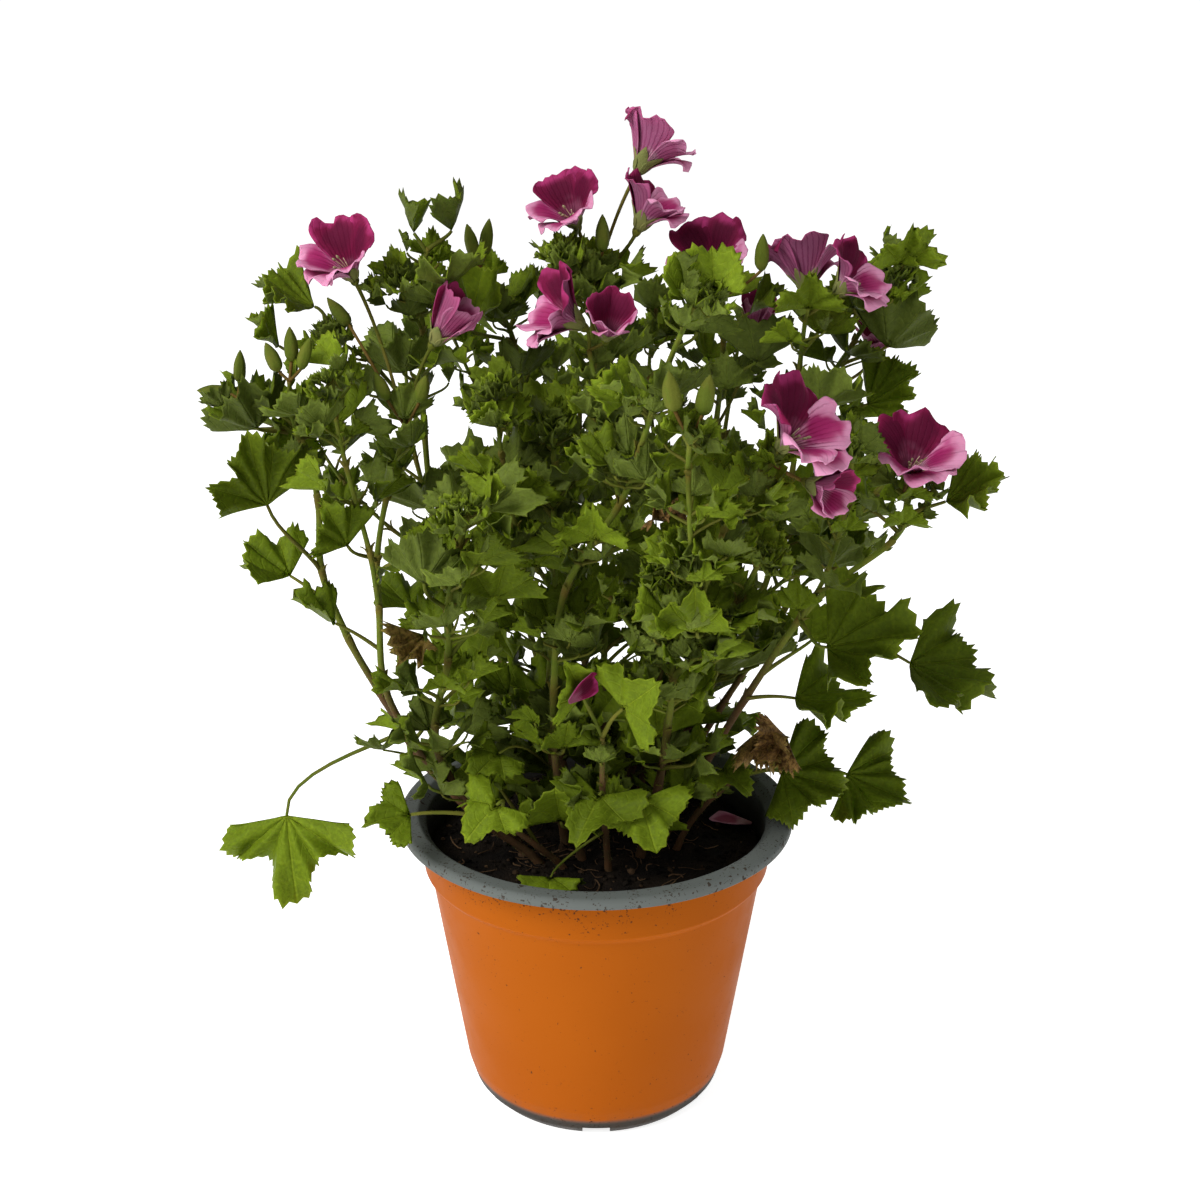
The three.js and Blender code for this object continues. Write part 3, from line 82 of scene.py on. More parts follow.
# The stems, leaves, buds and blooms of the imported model. A branch is its path, its radius at both
# ends, its leaves as (first, last, count), the stalk length, the leaf size and its young leaves.
STEMS = {
    "left_outer": [
        (((-26, 2, 87), (-40, 2, 98), (-57, 1, 115), (-69, 0, 138), (-79, -2, 159), (-86, -5, 183),
          (-86, -5, 206), (-91, 0, 224), (-106, 8, 230), (-113, 15, 234)),
         (1.7, 0.75), (0.36, 0.6, 2), 25, 24, 0),
        (((-91, 0, 224), (-93, -4, 234), (-92, -8, 244)),
         (0.9, 0.7), (0.3, 0.5, 1), 13, 16, 0),
    ],
    "left_dark": [
        (((-22, -8, 87), (-38, -9, 99), (-52, -10, 116), (-61, -12, 132), (-67, -14, 150),
          (-67, -16, 174), (-67, -16, 190), (-64, -12, 208), (-58, -4, 229)),
         (1.6, 0.8), (0.42, 0.95, 3), 22, 21, 0),
        (((-67, -16, 174), (-68, -24, 195), (-74, -22, 221), (-77, -18, 235), (-78, -14, 246)),
         (0.95, 0.6), (0.3, 0.85, 2), 17, 20, 2),
    ],
    "left_front": [
        (((-17, -16, 87), (-34, -20, 103), (-47, -23, 122), (-50, -25, 139), (-44, -38, 166),
          (-43, -46, 184), (-38, -56, 207), (-35, -60, 217)),
         (1.5, 0.95), (0.5, 0.88, 2), 20, 21, 3),
    ],
    "left_back": [
        (((-17, 12, 87), (-32, 22, 105), (-44, 30, 125), (-54, 42, 172), (-57, 38, 219),
          (-55, 25, 254), (-55, 15, 269), (-51, 12, 281)),
         (1.5, 0.7), (0.4, 0.85, 3), 25, 24, 2),
        (((-55, 25, 254), (-59, 16, 264), (-60, 11, 271)),
         (0.7, 0.6), (0, 0, 0), 11, 16, 2),
        (((-57, 38, 219), (-70, 30, 240), (-82, 20, 252)),
         (0.8, 0.6), (0.4, 0.6, 1), 13, 18, 2),
    ],
    "middle_back_left": [
        (((-8, 18, 87), (-15, 32, 120), (-25, 45, 157), (-23, 52, 208), (-27, 44, 246),
          (-33, 36, 261), (-37, 30, 272)),
         (1.4, 0.7), (0.32, 0.86, 4), 25, 24, 0),
        (((-23, 52, 208), (-40, 58, 228), (-48, 56, 246)),
         (0.8, 0.6), (0.3, 0.8, 1), 16, 20, 2),
    ],
    "centre_left": [
        (((-10, -4, 87), (-14, -4, 115), (-15, -4, 143), (-13, -10, 177), (-13, -8, 194),
          (-13, -5, 216), (-13, -2, 228)),
         (1.5, 0.8), (0.42, 0.92, 4), 22, 24, 3),
        (((-13, -10, 177), (-24, -16, 200), (-28, -16, 222), (-30, -14, 240)),
         (0.85, 0.6), (0.3, 0.85, 2), 16, 20, 3),
    ],
    "centre_diagonal": [
        (((-4, -14, 87), (-12, -20, 118), (-13, -26, 151), (-9, -32, 186), (7, -45, 216),
          (12, -60, 235), (18, -78, 260), (25, -88, 280)),
         (1.4, 0.7), (0.5, 0.9, 2), 18, 20, 3),
        (((7, -45, 216), (4, -32, 228), (1, -21, 240), (-2, -12, 254)),
         (0.8, 0.7), (0.3, 0.5, 1), 13, 18, 0),
    ],
    "centre_back": [
        (((1, 10, 87), (2, 18, 125), (3, 28, 162), (2, 30, 214), (-1, 20, 258), (0, 17, 270)),
         (1.5, 0.8), (0.36, 0.9, 4), 25, 24, 0),
        (((-1, 20, 258), (-7, 11, 268), (-9, 7, 276)),
         (0.8, 0.75), (0, 0, 0), 11, 16, 3),
    ],
    "back_centre": [
        (((8, 20, 87), (20, 36, 125), (33, 52, 169), (40, 46, 217), (41, 32, 249), (40, 24, 265)),
         (1.4, 0.75), (0.35, 0.9, 4), 25, 24, 0),
        (((33, 52, 169), (22, 62, 200), (18, 60, 232), (20, 54, 256)),
         (0.85, 0.6), (0.3, 0.85, 2), 18, 21, 2),
    ],
    "front_right": [
        (((14, -12, 87), (20, -15, 114), (22, -30, 140), (23, -40, 161), (21, -48, 182),
          (21, -52, 197)),
         (1.6, 0.8), (0.66, 0.9, 1), 16, 20, 3),
        (((23, -40, 161), (31, -52, 175), (40, -60, 192), (45, -68, 206)),
         (1.2, 0.8), (0.5, 0.7, 1), 13, 18, 2),
        (((31, -52, 175), (29, -66, 193), (26, -75, 208), (24, -85, 235), (24, -90, 245)),
         (0.9, 0.7), (0.35, 0.85, 2), 15, 18, 3),
        (((29, -66, 193), (34, -75, 216), (42, -72, 229), (47, -70, 234)),
         (0.8, 0.7), (0.35, 0.6, 1), 13, 16, 0),
        (((23, -40, 161), (13, -42, 174), (4, -42, 187)),
         (0.9, 0.7), (0, 0, 0), 11, 16, 0),
    ],
    "right_dark": [
        (((22, 2, 87), (35, 0, 113), (48, -5, 140), (64, -8, 168), (76, -8, 181), (91, -8, 193),
          (96, -10, 203), (94, -10, 210)),
         (1.5, 0.8), (0.4, 0.8, 2), 20, 21, 0),
        (((64, -8, 168), (70, -22, 188), (74, -26, 208), (76, -24, 226)),
         (0.85, 0.6), (0.3, 0.85, 2), 16, 20, 2),
    ],
    "right_middle": [
        (((15, 9, 87), (33, 26, 120), (56, 40, 158), (65, 36, 202), (65, 25, 241), (65, 14, 260)),
         (1.4, 0.75), (0.36, 0.92, 4), 22, 24, 0),
        (((56, 40, 158), (76, 36, 178), (92, 30, 198), (100, 24, 214)),
         (0.85, 0.6), (0.3, 0.85, 2), 18, 21, 2),
    ],
    "right_back": [
        (((20, 18, 87), (44, 42, 118), (69, 62, 151), (76, 58, 196), (78, 52, 229), (85, 46, 246),
          (93, 40, 262), (96, 38, 270)),
         (1.4, 0.65), (0.34, 0.8, 4), 22, 24, 2),
        (((69, 62, 151), (88, 70, 170), (98, 74, 190)),
         (0.85, 0.6), (0.4, 0.8, 1), 18, 21, 2),
    ],
    "far_left": [
        (((-12, 26, 87), (-30, 48, 125), (-50, 66, 160), (-64, 72, 200), (-66, 66, 238)),
         (1.4, 0.65), (0.28, 0.9, 4), 25, 24, 2),
        (((-50, 66, 160), (-72, 60, 178), (-86, 48, 198), (-94, 42, 214)),
         (0.85, 0.6), (0.3, 0.85, 2), 18, 21, 2),
    ],
    "far_middle": [
        (((0, 28, 87), (-4, 52, 130), (-8, 78, 170), (-6, 88, 215), (-10, 80, 252)),
         (1.4, 0.65), (0.3, 0.9, 4), 25, 24, 2),
        (((-8, 78, 170), (-28, 90, 192), (-34, 92, 216)),
         (0.85, 0.6), (0.35, 0.8, 1), 18, 21, 2),
    ],
    "far_right": [
        (((14, 28, 87), (26, 56, 128), (40, 80, 165), (46, 86, 205), (50, 78, 242)),
         (1.4, 0.65), (0.28, 0.9, 4), 25, 24, 2),
        (((40, 80, 165), (60, 91, 182), (74, 91, 204)),
         (0.85, 0.6), (0.35, 0.8, 1), 18, 21, 2),
    ],
    "low_left": [
        (((-9, -21, 87), (-18, -27, 98), (-30, -31, 110)),
         (1.3, 0.9), (0, 0, 0), 11, 16, 0),
    ],
    "low_front": [
        (((4, -22, 87), (3, -27, 104), (2, -32, 122), (2, -36, 140)),
         (1.3, 0.8), (0, 0, 0), 11, 16, 0),
    ],
    "low_right": [
        (((26, -6, 87), (34, -8, 102), (46, -6, 113)),
         (1.3, 0.9), (0, 0, 0), 11, 16, 0),
    ],
    "low_back": [
        (((4, 38, 87), (6, 46, 102), (6, 54, 114)),
         (1.3, 0.9), (0, 0, 0), 11, 16, 0),
    ],
}
# A blade is its stem, foot, hub, tip, upper side, half its fan in radians, its cup and its lobing.
BLADES = [
    ("left_outer", (-86, -5, 183), (-99, -18, 208), (-105, -20, 232), (0.4, -0.7, 0.5), 1.3, 0.35, 0.25),
    ("left_outer", (-91, 0, 224), (-91, 14, 224), (-105, 16, 236), (0.1, -0.4, 0.9), 1.2, 0.4, 0.14),
    ("left_dark", (-67, -16, 190), (-74, -27, 198), (-80, -30, 212), (0.2, -0.7, 0.6), 1.2, 0.35, 0.14),
    ("left_dark", (-61, -12, 132), (-99, -20, 106), (-97, -26, 78), (-0.15, -0.9, 0.3), 1.4, 0.12, 0.36),
    ("left_front", (-43, -46, 184), (-48, -60, 197), (-48, -64, 213), (0.1, 0.8, 0.5), 1.15, 0.35, 0.14),
    ("left_front", (-44, -38, 166), (-30, -42, 186), (-25, -49, 202), (0.2, -0.8, 0.5), 1.25, 0.3, 0.14),
    ("left_back", (-82, 20, 252), (-88, 20, 262), (-107, 17, 268), (0.1, -0.35, 0.95), 1.2, 0.45, 0.14),
    ("left_back", (-70, 30, 240), (-97, 6, 252), (-106, 0, 262), (0.2, -0.4, 0.9), 1.1, 0.4, 0.14),
    ("middle_back_left", (-27, 44, 246), (-39, 20, 258), (-27, 15, 273), (-0.5, -0.5, 0.7), 1.1, 0.4, 0.14),
    ("centre_left", (-14, -4, 115), (-30, -30, 132), (-38, -38, 128), (-0.2, -0.8, 0.6), 2, 0.1, 0.3),
    ("back_centre", (41, 32, 249), (48, 20, 260), (60, 15, 267), (0.1, -0.35, 0.95), 1.2, 0.45, 0.14),
    ("right_dark", (96, -10, 203), (108, -6, 206), (126, -10, 214), (0, -0.35, 0.95), 1.2, 0.35, 0.14),
    ("right_dark", (64, -8, 168), (71, -22, 164), (98, -28, 170), (0, -0.3, 1), 1.5, 0.4, 0.22),
    ("right_dark", (76, -8, 181), (102, 4, 149), (128, 0, 138), (0.4, -0.4, 0.85), 1.5, 0.4, 0.22),
    ("right_dark", (48, -5, 140), (65, 3, 137), (89, 0, 134), (0.1, -0.2, 1), 1.5, 0.4, 0.22),
    ("right_dark", (64, -8, 168), (63, -14, 173), (61, -16, 186), (0, -0.6, 0.6), 1.1, 0.4, 0.14),
    ("right_back", (78, 52, 229), (91, 48, 225), (107, 43, 237), (0, -0.5, 0.85), 1.25, 0.35, 0.14),
    ("low_left", (-30, -31, 110), (-30, -46, 122), (-40, -53, 114), (-0.15, -0.75, 0.65), 2.1, 0.1, 0.36),
    ("low_left", (-18, -27, 98), (-32, -20, 118), (-38, -27, 134), (-0.2, -0.7, 0.7), 1.9, 0.2, 0.3),
    ("low_left", (-30, -31, 110), (-57, -38, 115), (-72, -42, 114), (-0.1, -0.6, 0.8), 1.4, 0.3, 0.3),
    ("low_front", (3, -27, 104), (1, -37, 121), (-6, -51, 112), (-0.1, -0.6, 0.8), 2.1, 0.12, 0.36),
    ("low_front", (3, -27, 104), (14, -36, 119), (18, -48, 107), (0.2, -0.6, 0.8), 1.8, 0.15, 0.3),
    ("low_front", (3, -27, 104), (-14, -41, 95), (-15, -53, 94), (0, -0.1, 1), 1.7, 0.05, 0.2),
    ("low_front", (2, -36, 140), (8, -50, 155), (18, -58, 166), (0.1, -0.8, 0.5), 1.7, 0.25, 0.25),
    ("low_front", (2, -36, 140), (-4, -42, 156), (-8, -51, 170), (-0.1, -0.8, 0.5), 1.7, 0.25, 0.25),
    ("low_right", (46, -6, 113), (61, -2, 113), (82, -8, 109), (0.15, -0.8, 0.6), 1.6, 0.3, 0.25),
    ("low_right", (46, -6, 113), (86, 20, 102), (106, 14, 94), (0.2, -0.7, 0.7), 1.5, 0.25, 0.25),
    ("low_right", (34, -8, 102), (40, -18, 121), (49, -26, 117), (0.3, -0.5, 0.8), 1.9, 0.15, 0.3),
    ("low_back", (6, 54, 114), (22, 66, 119), (34, 84, 116), (0.2, 0.4, 0.9), 1.6, 0.15, 0.2),
    ("low_back", (6, 54, 114), (-14, 66, 117), (-26, 83, 112), (-0.2, 0.4, 0.9), 1.6, 0.15, 0.2),
    ("low_back", (6, 46, 102), (40, 50, 112), (60, 58, 106), (0.4, 0.2, 0.9), 1.5, 0.2, 0.2),
    ("low_back", (6, 46, 102), (-38, 50, 112), (-58, 58, 107), (-0.4, 0.2, 0.9), 1.5, 0.2, 0.2),
]
# A bud is its stem, the foot of its stalk, its base, its tip and its size.
BUDS = [
    ("left_outer", (-113, 15, 234), (-116, 16, 235.5), (-128, 18, 236), 1),
    ("left_outer", (-113, 15, 234), (-112, 15, 239), (-111, 15, 251), 0.9),
    ("left_outer", (-92, -8, 244), (-95, -8, 247), (-99, -8, 257), 1),
    ("left_outer", (-92, -8, 244), (-91, -8, 250), (-91, -8, 262), 1),
    ("left_outer", (-92, -8, 244), (-88, -10, 248), (-84, -11, 259), 0.9),
    ("left_dark", (-58, -4, 229), (-76, 10, 258), (-84, 14, 267), 1),
    ("left_dark", (-58, -4, 229), (-63, -7, 238), (-67, -7, 248), 1),
    ("left_dark", (-58, -4, 229), (-53, -10, 238), (-50, -13, 248), 1),
    ("middle_back_left", (-37, 30, 272), (-38, 30, 276), (-41, 31, 288), 1),
    ("middle_back_left", (-37, 30, 272), (-35, 29, 277), (-33, 28, 290), 1),
    ("middle_back_left", (-37, 30, 272), (-41, 28, 273), (-49, 26, 280), 0.9),
    ("centre_back", (0, 17, 270), (2, 12, 280), (2, 10, 293), 1),
    ("back_centre", (40, 24, 265), (50, 6, 275), (50, 3, 288), 1),
    ("front_right", (24, -90, 245), (20, -92, 253), (18, -93, 265), 1.1),
    ("front_right", (24, -90, 245), (27, -92, 252), (29, -93, 264), 1.1),
    ("right_dark", (94, -10, 210), (101, -4, 222), (103, -2, 234), 0.9),
]
# A bloom is its name, its stem, the foot of its stalk, its base, the way it opens, the side of its
# dark petals, its radius and how far it is open from 0 to 1.
BLOOMS = [
    ("far_left", "left_dark",
     (-58, -4, 229), (-74, 10, 272), (-0.3, -0.5, 0.8), (0.5, 0.6, 0.5), 15.5, 0.68),
    ("top_left", "centre_back",
     (0, 17, 270), (-6, 18, 287), (-0.35, -0.5, 0.8), (0.3, 0.7, 0.6), 14, 0.7),
    ("top_middle", "centre_back",
     (0, 17, 270), (13, 18, 286), (0.45, -0.1, 0.9), (-0.8, 0.1, 0.4), 14, 0.65),
    ("topmost", "centre_back",
     (0, 17, 270), (13, 32, 302), (0.5, 0.2, 0.85), (-0.4, -0.2, 0.4), 16, 0.68),
    ("back_middle", "back_centre",
     (40, 24, 265), (37, 22, 272), (-0.25, -0.55, 0.8), (0.1, 0.8, 0.5), 15, 0.8),
    ("back_right", "right_middle",
     (65, 14, 260), (65, 14, 267), (-0.1, 0.35, 0.9), (-0.6, -0.6, 0.2), 16, 0.65),
    ("right_upper", "right_middle",
     (65, 14, 260), (73, 6, 268), (0.6, -0.35, 0.7), (-0.5, 0.2, 0.8), 14, 0.75),
    ("centre", "centre_diagonal",
     (-2, -12, 254), (-4, -11, 261), (-0.8, -0.25, 0.55), (0.5, 0, 0.85), 15.5, 0.7),
    ("front", "front_right",
     (47, -70, 234), (49, -71, 238), (0.5, -0.42, 0.75), (-0.6, 0.2, 0.7), 17, 0.8),
    ("right", "right_dark",
     (94, -10, 210), (95, -11, 215), (0.08, -0.42, 0.9), (-0.3, 0.6, 0.7), 17, 0.75),
]
# Blooms that are opening or closing, in the same order
BUDDING = [
    ("half_open_left", "left_dark",
     (-58, -4, 229), (-49, 0, 254), (0.55, -0.15, 0.8), (-0.5, 0, 0.8), 13, 0.1),
    ("closing_centre", "centre_diagonal",
     (-2, -12, 254), (3, -14, 258), (0.15, -0.6, 0.8), (0, 0.6, 0.7), 11, 0.35),
    ("front_low", "front_right",
     (47, -70, 234), (58, -64, 227), (0.7, -0.7, -0.1), (0.2, 0.2, 1), 10, 0.4),
    ("small_back", "right_back",
     (78, 52, 229), (94, 60, 240), (0.1, -0.4, 0.9), (0, 0.6, 0.6), 12, 0.5),
    ("small_middle", "back_centre",
     (40, 46, 217), (53, 52, 248), (0.1, -0.2, 0.95), (0, 0.6, 0.6), 10, 0.1),
]

# Tufts of small crisped leaves at the tips of shoots, as (stem, foot of the shoot, middle of the
# tuft, the way it grows, how many leaves, their size, their age from 0 to 1)
TUFTS = [
    ("centre_back", (-9, 7, 276), (-10, 8, 281), (-0.2, -0.3, 1), 7, 11, 0.15),
    ("left_front", (-35, -60, 217), (-36, -62, 219), (-0.2, -0.4, 1), 7, 11, 0.1),
    ("centre_left", (-13, -2, 228), (-13, -4, 231), (0, -0.4, 1), 7, 12, 0.35),
    ("centre_left", (-30, -14, 240), (-31, -16, 243), (-0.3, -0.3, 1), 6, 11, 0.3),
    ("front_right", (21, -52, 197), (21, -54, 200), (0, -0.5, 1), 7, 11, 0.2),
    ("front_right", (45, -68, 206), (46, -70, 209), (0.3, -0.4, 1), 6, 10, 0.25),
    ("front_right", (24, -90, 245), (25, -90, 247), (0.1, -0.3, 1), 5, 10, 0.3),
    ("centre_diagonal", (25, -88, 280), (27, -88, 281), (0.2, -0.2, 1), 6, 11, 0.15),
    ("right_dark", (76, -24, 226), (77, -25, 228), (0.2, -0.3, 1), 6, 11, 0.4),
    ("right_dark", (94, -10, 210), (100, -8, 214), (0.5, -0.3, 1), 5, 10, 0.4),
    ("left_back", (-60, 11, 271), (-61, 9, 273), (-0.3, -0.4, 1), 6, 11, 0.3),
    ("left_back", (-82, 20, 252), (-84, 18, 254), (-0.4, -0.3, 1), 6, 11, 0.4),
    ("left_dark", (-78, -14, 246), (-79, -16, 246), (-0.3, -0.4, 1), 5, 10, 0.4),
    ("right_back", (96, 38, 270), (97, 37, 271), (0.3, -0.2, 1), 5, 10, 0.35),
    ("far_left", (-66, 66, 238), (-66, 66, 240), (-0.2, 0.3, 1), 6, 11, 0.4),
    ("far_middle", (-10, 80, 252), (-10, 80, 254), (0, 0.4, 1), 6, 11, 0.4),
    ("far_right", (50, 78, 242), (50, 78, 244), (0.2, 0.4, 1), 6, 11, 0.4),
]

# Withered leaves that still hang between the others: stem, foot, hub, tip, face and how dry
WITHERED = [
    ("right_dark", (64, -8, 168), (60, -22, 134), (48, -26, 128), (0.2, -0.8, 0.5), 1.0),
    ("right_dark", (48, -5, 140), (52, -20, 136), (56, -24, 124), (-0.3, -0.8, 0.3), 0.9),
    ("front_right", (21, -52, 197), (18, -56, 214), (22, -60, 224), (0.3, -0.8, 0.3), 1.0),
    ("left_front", (-44, -38, 166), (-50, -44, 176), (-56, -50, 168), (-0.2, -0.8, 0.4), 0.8),
]

DARK_STEMS = ("left_dark", "right_dark", "left_outer")
# Blooms that are lighter (above 0) or darker than the others
TINTS = {"far_left": 0.4, "topmost": 0.7, "back_middle": -0.8, "right": 0.2, "front": 0.4, "centre": 0.1}
# Heights below which a stem bears no further leaves
BARE_BELOW = {"left_outer": 215, "left_dark": 215, "right_dark": 195, "left_back": 185, "far_left": 190,
              "right_back": 160}
BARE_ELSEWHERE = 108

LEAF_THICKNESS = 0.34
PETAL_THICKNESS = 0.3
HAIR_WIDTH = 0.045
# A packed leaf is found when more than this share of its rim lies this near to the node's vertices
MATCH_SHARE = 0.6
MATCH_GAP = 0.06
# How far from a new leaf the taken points are looked at
CROWD_REACH = 45


# ---- numbers and shapes ----------------------------------------------------------------------

def seeded(seed):
    """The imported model's own random numbers from 0 to 1: a 32-bit counter, stirred by two rounds of shift,
    exclusive or and multiply."""
    state = seed & 0xFFFFFFFF

    def draw():
        nonlocal state
        state = (state + 0x6D2B79F5) & 0xFFFFFFFF
        t = ((state ^ (state >> 15)) * (1 | state)) & 0xFFFFFFFF
        t = ((t + (((t ^ (t >> 7)) * (61 | t)) & 0xFFFFFFFF)) & 0xFFFFFFFF) ^ t
        return ((t ^ (t >> 14)) & 0xFFFFFFFF) / 4294967296

    return draw


def vec(*xyz):
    return np.array(xyz[0] if len(xyz) == 1 else xyz, float)


def unit(a):
    return a / np.maximum(np.linalg.norm(a, axis=-1, keepdims=True), 1e-9)


def turn(a, axis, angle):
    """a turned about a unit axis: its part along the axis stays, and the rest turns in its own plane."""
    return (a * math.cos(angle) + np.cross(axis, a) * math.sin(angle)
            + axis * (a @ axis) * (1 - math.cos(angle)))


def spline(path, t):
    """Points at t from 0 to 1 on the smooth curve through the path: on each span a cubic whose slopes are
    half the step between the neighbours of its ends."""
    p = np.asarray(path, float)
    p = np.vstack([2 * p[0] - p[1], p, 2 * p[-1] - p[-2]])
    x = np.clip(np.asarray(t, float), 0, 1) * (len(path) - 1)
    i = np.minimum(x.astype(int), len(path) - 2)
    f = (x - i)[..., None]
    a, b, c, d = p[i], p[i + 1], p[i + 2], p[i + 3]
    return 0.5 * (2 * b + (c - a) * f + (2 * a - 5 * b + 4 * c - d) * f**2 + (3 * b - 3 * c + d - a) * f**3)


def lumps(x, y, seed):
    """Smooth noise from -1 to 1: a random value at each whole point of a grid, blended by a cubic step."""
    rng = np.random.default_rng(seed)
    values = rng.uniform(-1, 1, (64, 64))
    i, j = np.floor(x).astype(int), np.floor(y).astype(int)
    u, v = x - i, y - j
    u, v = u * u * (3 - 2 * u), v * v * (3 - 2 * v)
    at = lambda a, b: values[(i + a) % 64, (j + b) % 64]
    return (at(0, 0) * (1 - u) + at(1, 0) * u) * (1 - v) + (at(0, 1) * (1 - u) + at(1, 1) * u) * v


class Skin:
    """Closed surfaces gathered for one piece, with the values that its material reads."""

    def __init__(self):
        self.points, self.faces, self.under, self.uv, self.values, self.count = [], [], [], [], [], 0

    def add(self, points, faces, uv, under=0.0, **values):
        n = len(points)
        self.points.append(points)
        self.faces.append(faces + self.count)
        self.uv.append(np.broadcast_to(uv, (n, 2)))
        self.under.append(np.broadcast_to(under, len(faces)))
        self.values.append({k: np.broadcast_to(v, n) for k, v in values.items()})
        self.count += n

    def piece(self, name, material, slot, *nodes):
        """The gathered surfaces as one object in metres, riding on the root and standing for its nodes."""
        points = np.concatenate(self.points) * MM
        faces = np.concatenate(self.faces)
        mesh = bpy.data.meshes.new(name)
        mesh.vertices.add(len(points))
        mesh.vertices.foreach_set("co", points.ravel())
        mesh.loops.add(faces.size)
        mesh.loops.foreach_set("vertex_index", faces.ravel())
        mesh.polygons.add(len(faces))
        mesh.polygons.foreach_set("loop_start", np.arange(0, faces.size, 3))
        mesh.polygons.foreach_set("use_smooth", np.ones(len(faces), bool))
        mesh.update(calc_edges=True)
        uv = np.concatenate(self.uv)
        mesh.uv_layers.new(name="flow").data.foreach_set("uv", uv[faces.ravel()].ravel())
        for key in sorted({k for values in self.values for k in values}):
            column = [values.get(key, np.zeros(len(points_)))
                      for values, points_ in zip(self.values, self.points)]
            mesh.attributes.new(key, "FLOAT", "POINT").data.foreach_set("value", np.concatenate(column))
        mesh.attributes.new("under", "FLOAT", "FACE").data.foreach_set("value", np.concatenate(self.under))
        mesh.materials.append(material)
        return settle(bpy.data.objects.new(name, mesh), slot, *nodes)


def settle(obj, slot, *nodes):
    if obj.name not in bpy.context.scene.collection.objects:
        bpy.context.scene.collection.objects.link(obj)
    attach(obj, "root")
    if nodes:
        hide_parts(*nodes)
    return obj


def cells(index):
    """Two triangles for every cell of a grid of point numbers."""
    a, b, c, d = index[:-1, :-1], index[1:, :-1], index[1:, 1:], index[:-1, 1:]
    return np.concatenate([np.stack([a, b, c], -1).reshape(-1, 3), np.stack([a, c, d], -1).reshape(-1, 3)])


SHEETS = {}


def sheet_faces(rows, cols, pole):
    """Numbering of a thin closed blade: both faces share the border points, a first row that is a pole is
    one point, and a corner where both would share a triangle is cut."""
    if (rows, cols, pole) not in SHEETS:
        top = np.arange(rows * cols).reshape(rows, cols)
        if pole:
            top[0] = 0
        low = top.copy()
        low[1:-1, 1:-1] = rows * cols + np.arange((rows - 2) * (cols - 2)).reshape(rows - 2, cols - 2)
        faces = np.concatenate([cells(top), cells(low)[:, ::-1]])
        under = np.repeat([0.0, 1.0], len(faces) // 2)
        whole = (faces[:, 0] != faces[:, 1]) & (faces[:, 1] != faces[:, 2]) & (faces[:, 2] != faces[:, 0])
        border = np.concatenate([top[0], top[-1], top[:, 0], top[:, -1]])
        whole &= ~np.isin(faces, border).all(1)
        used, numbers = np.unique(faces[whole], return_inverse=True)
        SHEETS[rows, cols, pole] = used, numbers.reshape(-1, 3), under[whole]
    return SHEETS[rows, cols, pole]


def sheet(skin, middle, thickness, uv, pole=False, **values):
    """A thin closed blade: the grid of middle points moved half the thickness to either side along its
    normals, and not moved at the border."""
    rows, cols = middle.shape[:2]
    normal = unit(np.cross(np.gradient(middle, axis=0), np.gradient(middle, axis=1)))
    inside = (slice(1, -1), slice(1, -1))
    shift = np.zeros((rows, cols, 1))
    shift[inside] = thickness / 2
    top, low = middle + normal * shift, (middle - normal * shift)[inside]
    used, faces, under = sheet_faces(rows, cols, pole)
    lower = (rows - 2) * (cols - 2)
    both = lambda a: np.concatenate([a.reshape(rows * cols, -1), a[inside].reshape(lower, -1)])[used]
    points = np.concatenate([top.reshape(-1, 3), low.reshape(-1, 3)])[used]
    spread = {k: both(np.broadcast_to(v, (rows, cols)))[:, 0] for k, v in values.items()}
    skin.add(points, faces, both(uv), under, **spread)


def frames(centres):
    """Two directions square to a line at each point: along cross a fixed axis, and along cross that."""
    along = unit(np.gradient(centres, axis=0))
    axis = np.eye(3)[np.argmin(np.abs(centres[-1] - centres[0]))]
    side = unit(np.cross(along, axis))
    return side, np.cross(along, side)


def tube(skin, centres, radii, sides, ribs=0.0, **values):
    """A closed tube: on each ring the radius times one plus ribs times the cosine of five times the angle,
    and a point at each end."""
    rings = len(centres)
    side, rise = frames(centres)
    angle = np.arange(sides) / sides * 2 * np.pi
    radius = (np.asarray(radii)[:, None] * (1 + ribs * np.cos(5 * angle)))[..., None]
    ring = side[:, None] * np.cos(angle)[:, None] + rise[:, None] * np.sin(angle)[:, None]
    points = (centres[:, None] + ring * radius).reshape(-1, 3)
    points = np.concatenate([points, centres[:1], centres[-1:]])
    index = np.arange(rings * sides).reshape(rings, sides)
    index = np.concatenate([index, index[:, :1]], 1)
    walls = cells(index)[:, ::-1]
    first = np.stack([np.full(sides, rings * sides), index[0, 1:], index[0, :-1]], -1)
    last = np.stack([np.full(sides, rings * sides + 1), index[-1, :-1], index[-1, 1:]], -1)
    t = np.repeat(np.linspace(0, 1, rings), sides)
    uv = np.stack([np.append(np.tile(angle, rings), (0, 0)), np.append(t, (0, 1))], -1)
    grown = {}
    for key, value in values.items():
        line = np.broadcast_to(value, rings)
        grown[key] = np.append(np.repeat(line, sides), (line[0], line[-1]))
    skin.add(points, np.concatenate([walls, first, last]), uv, **grown)


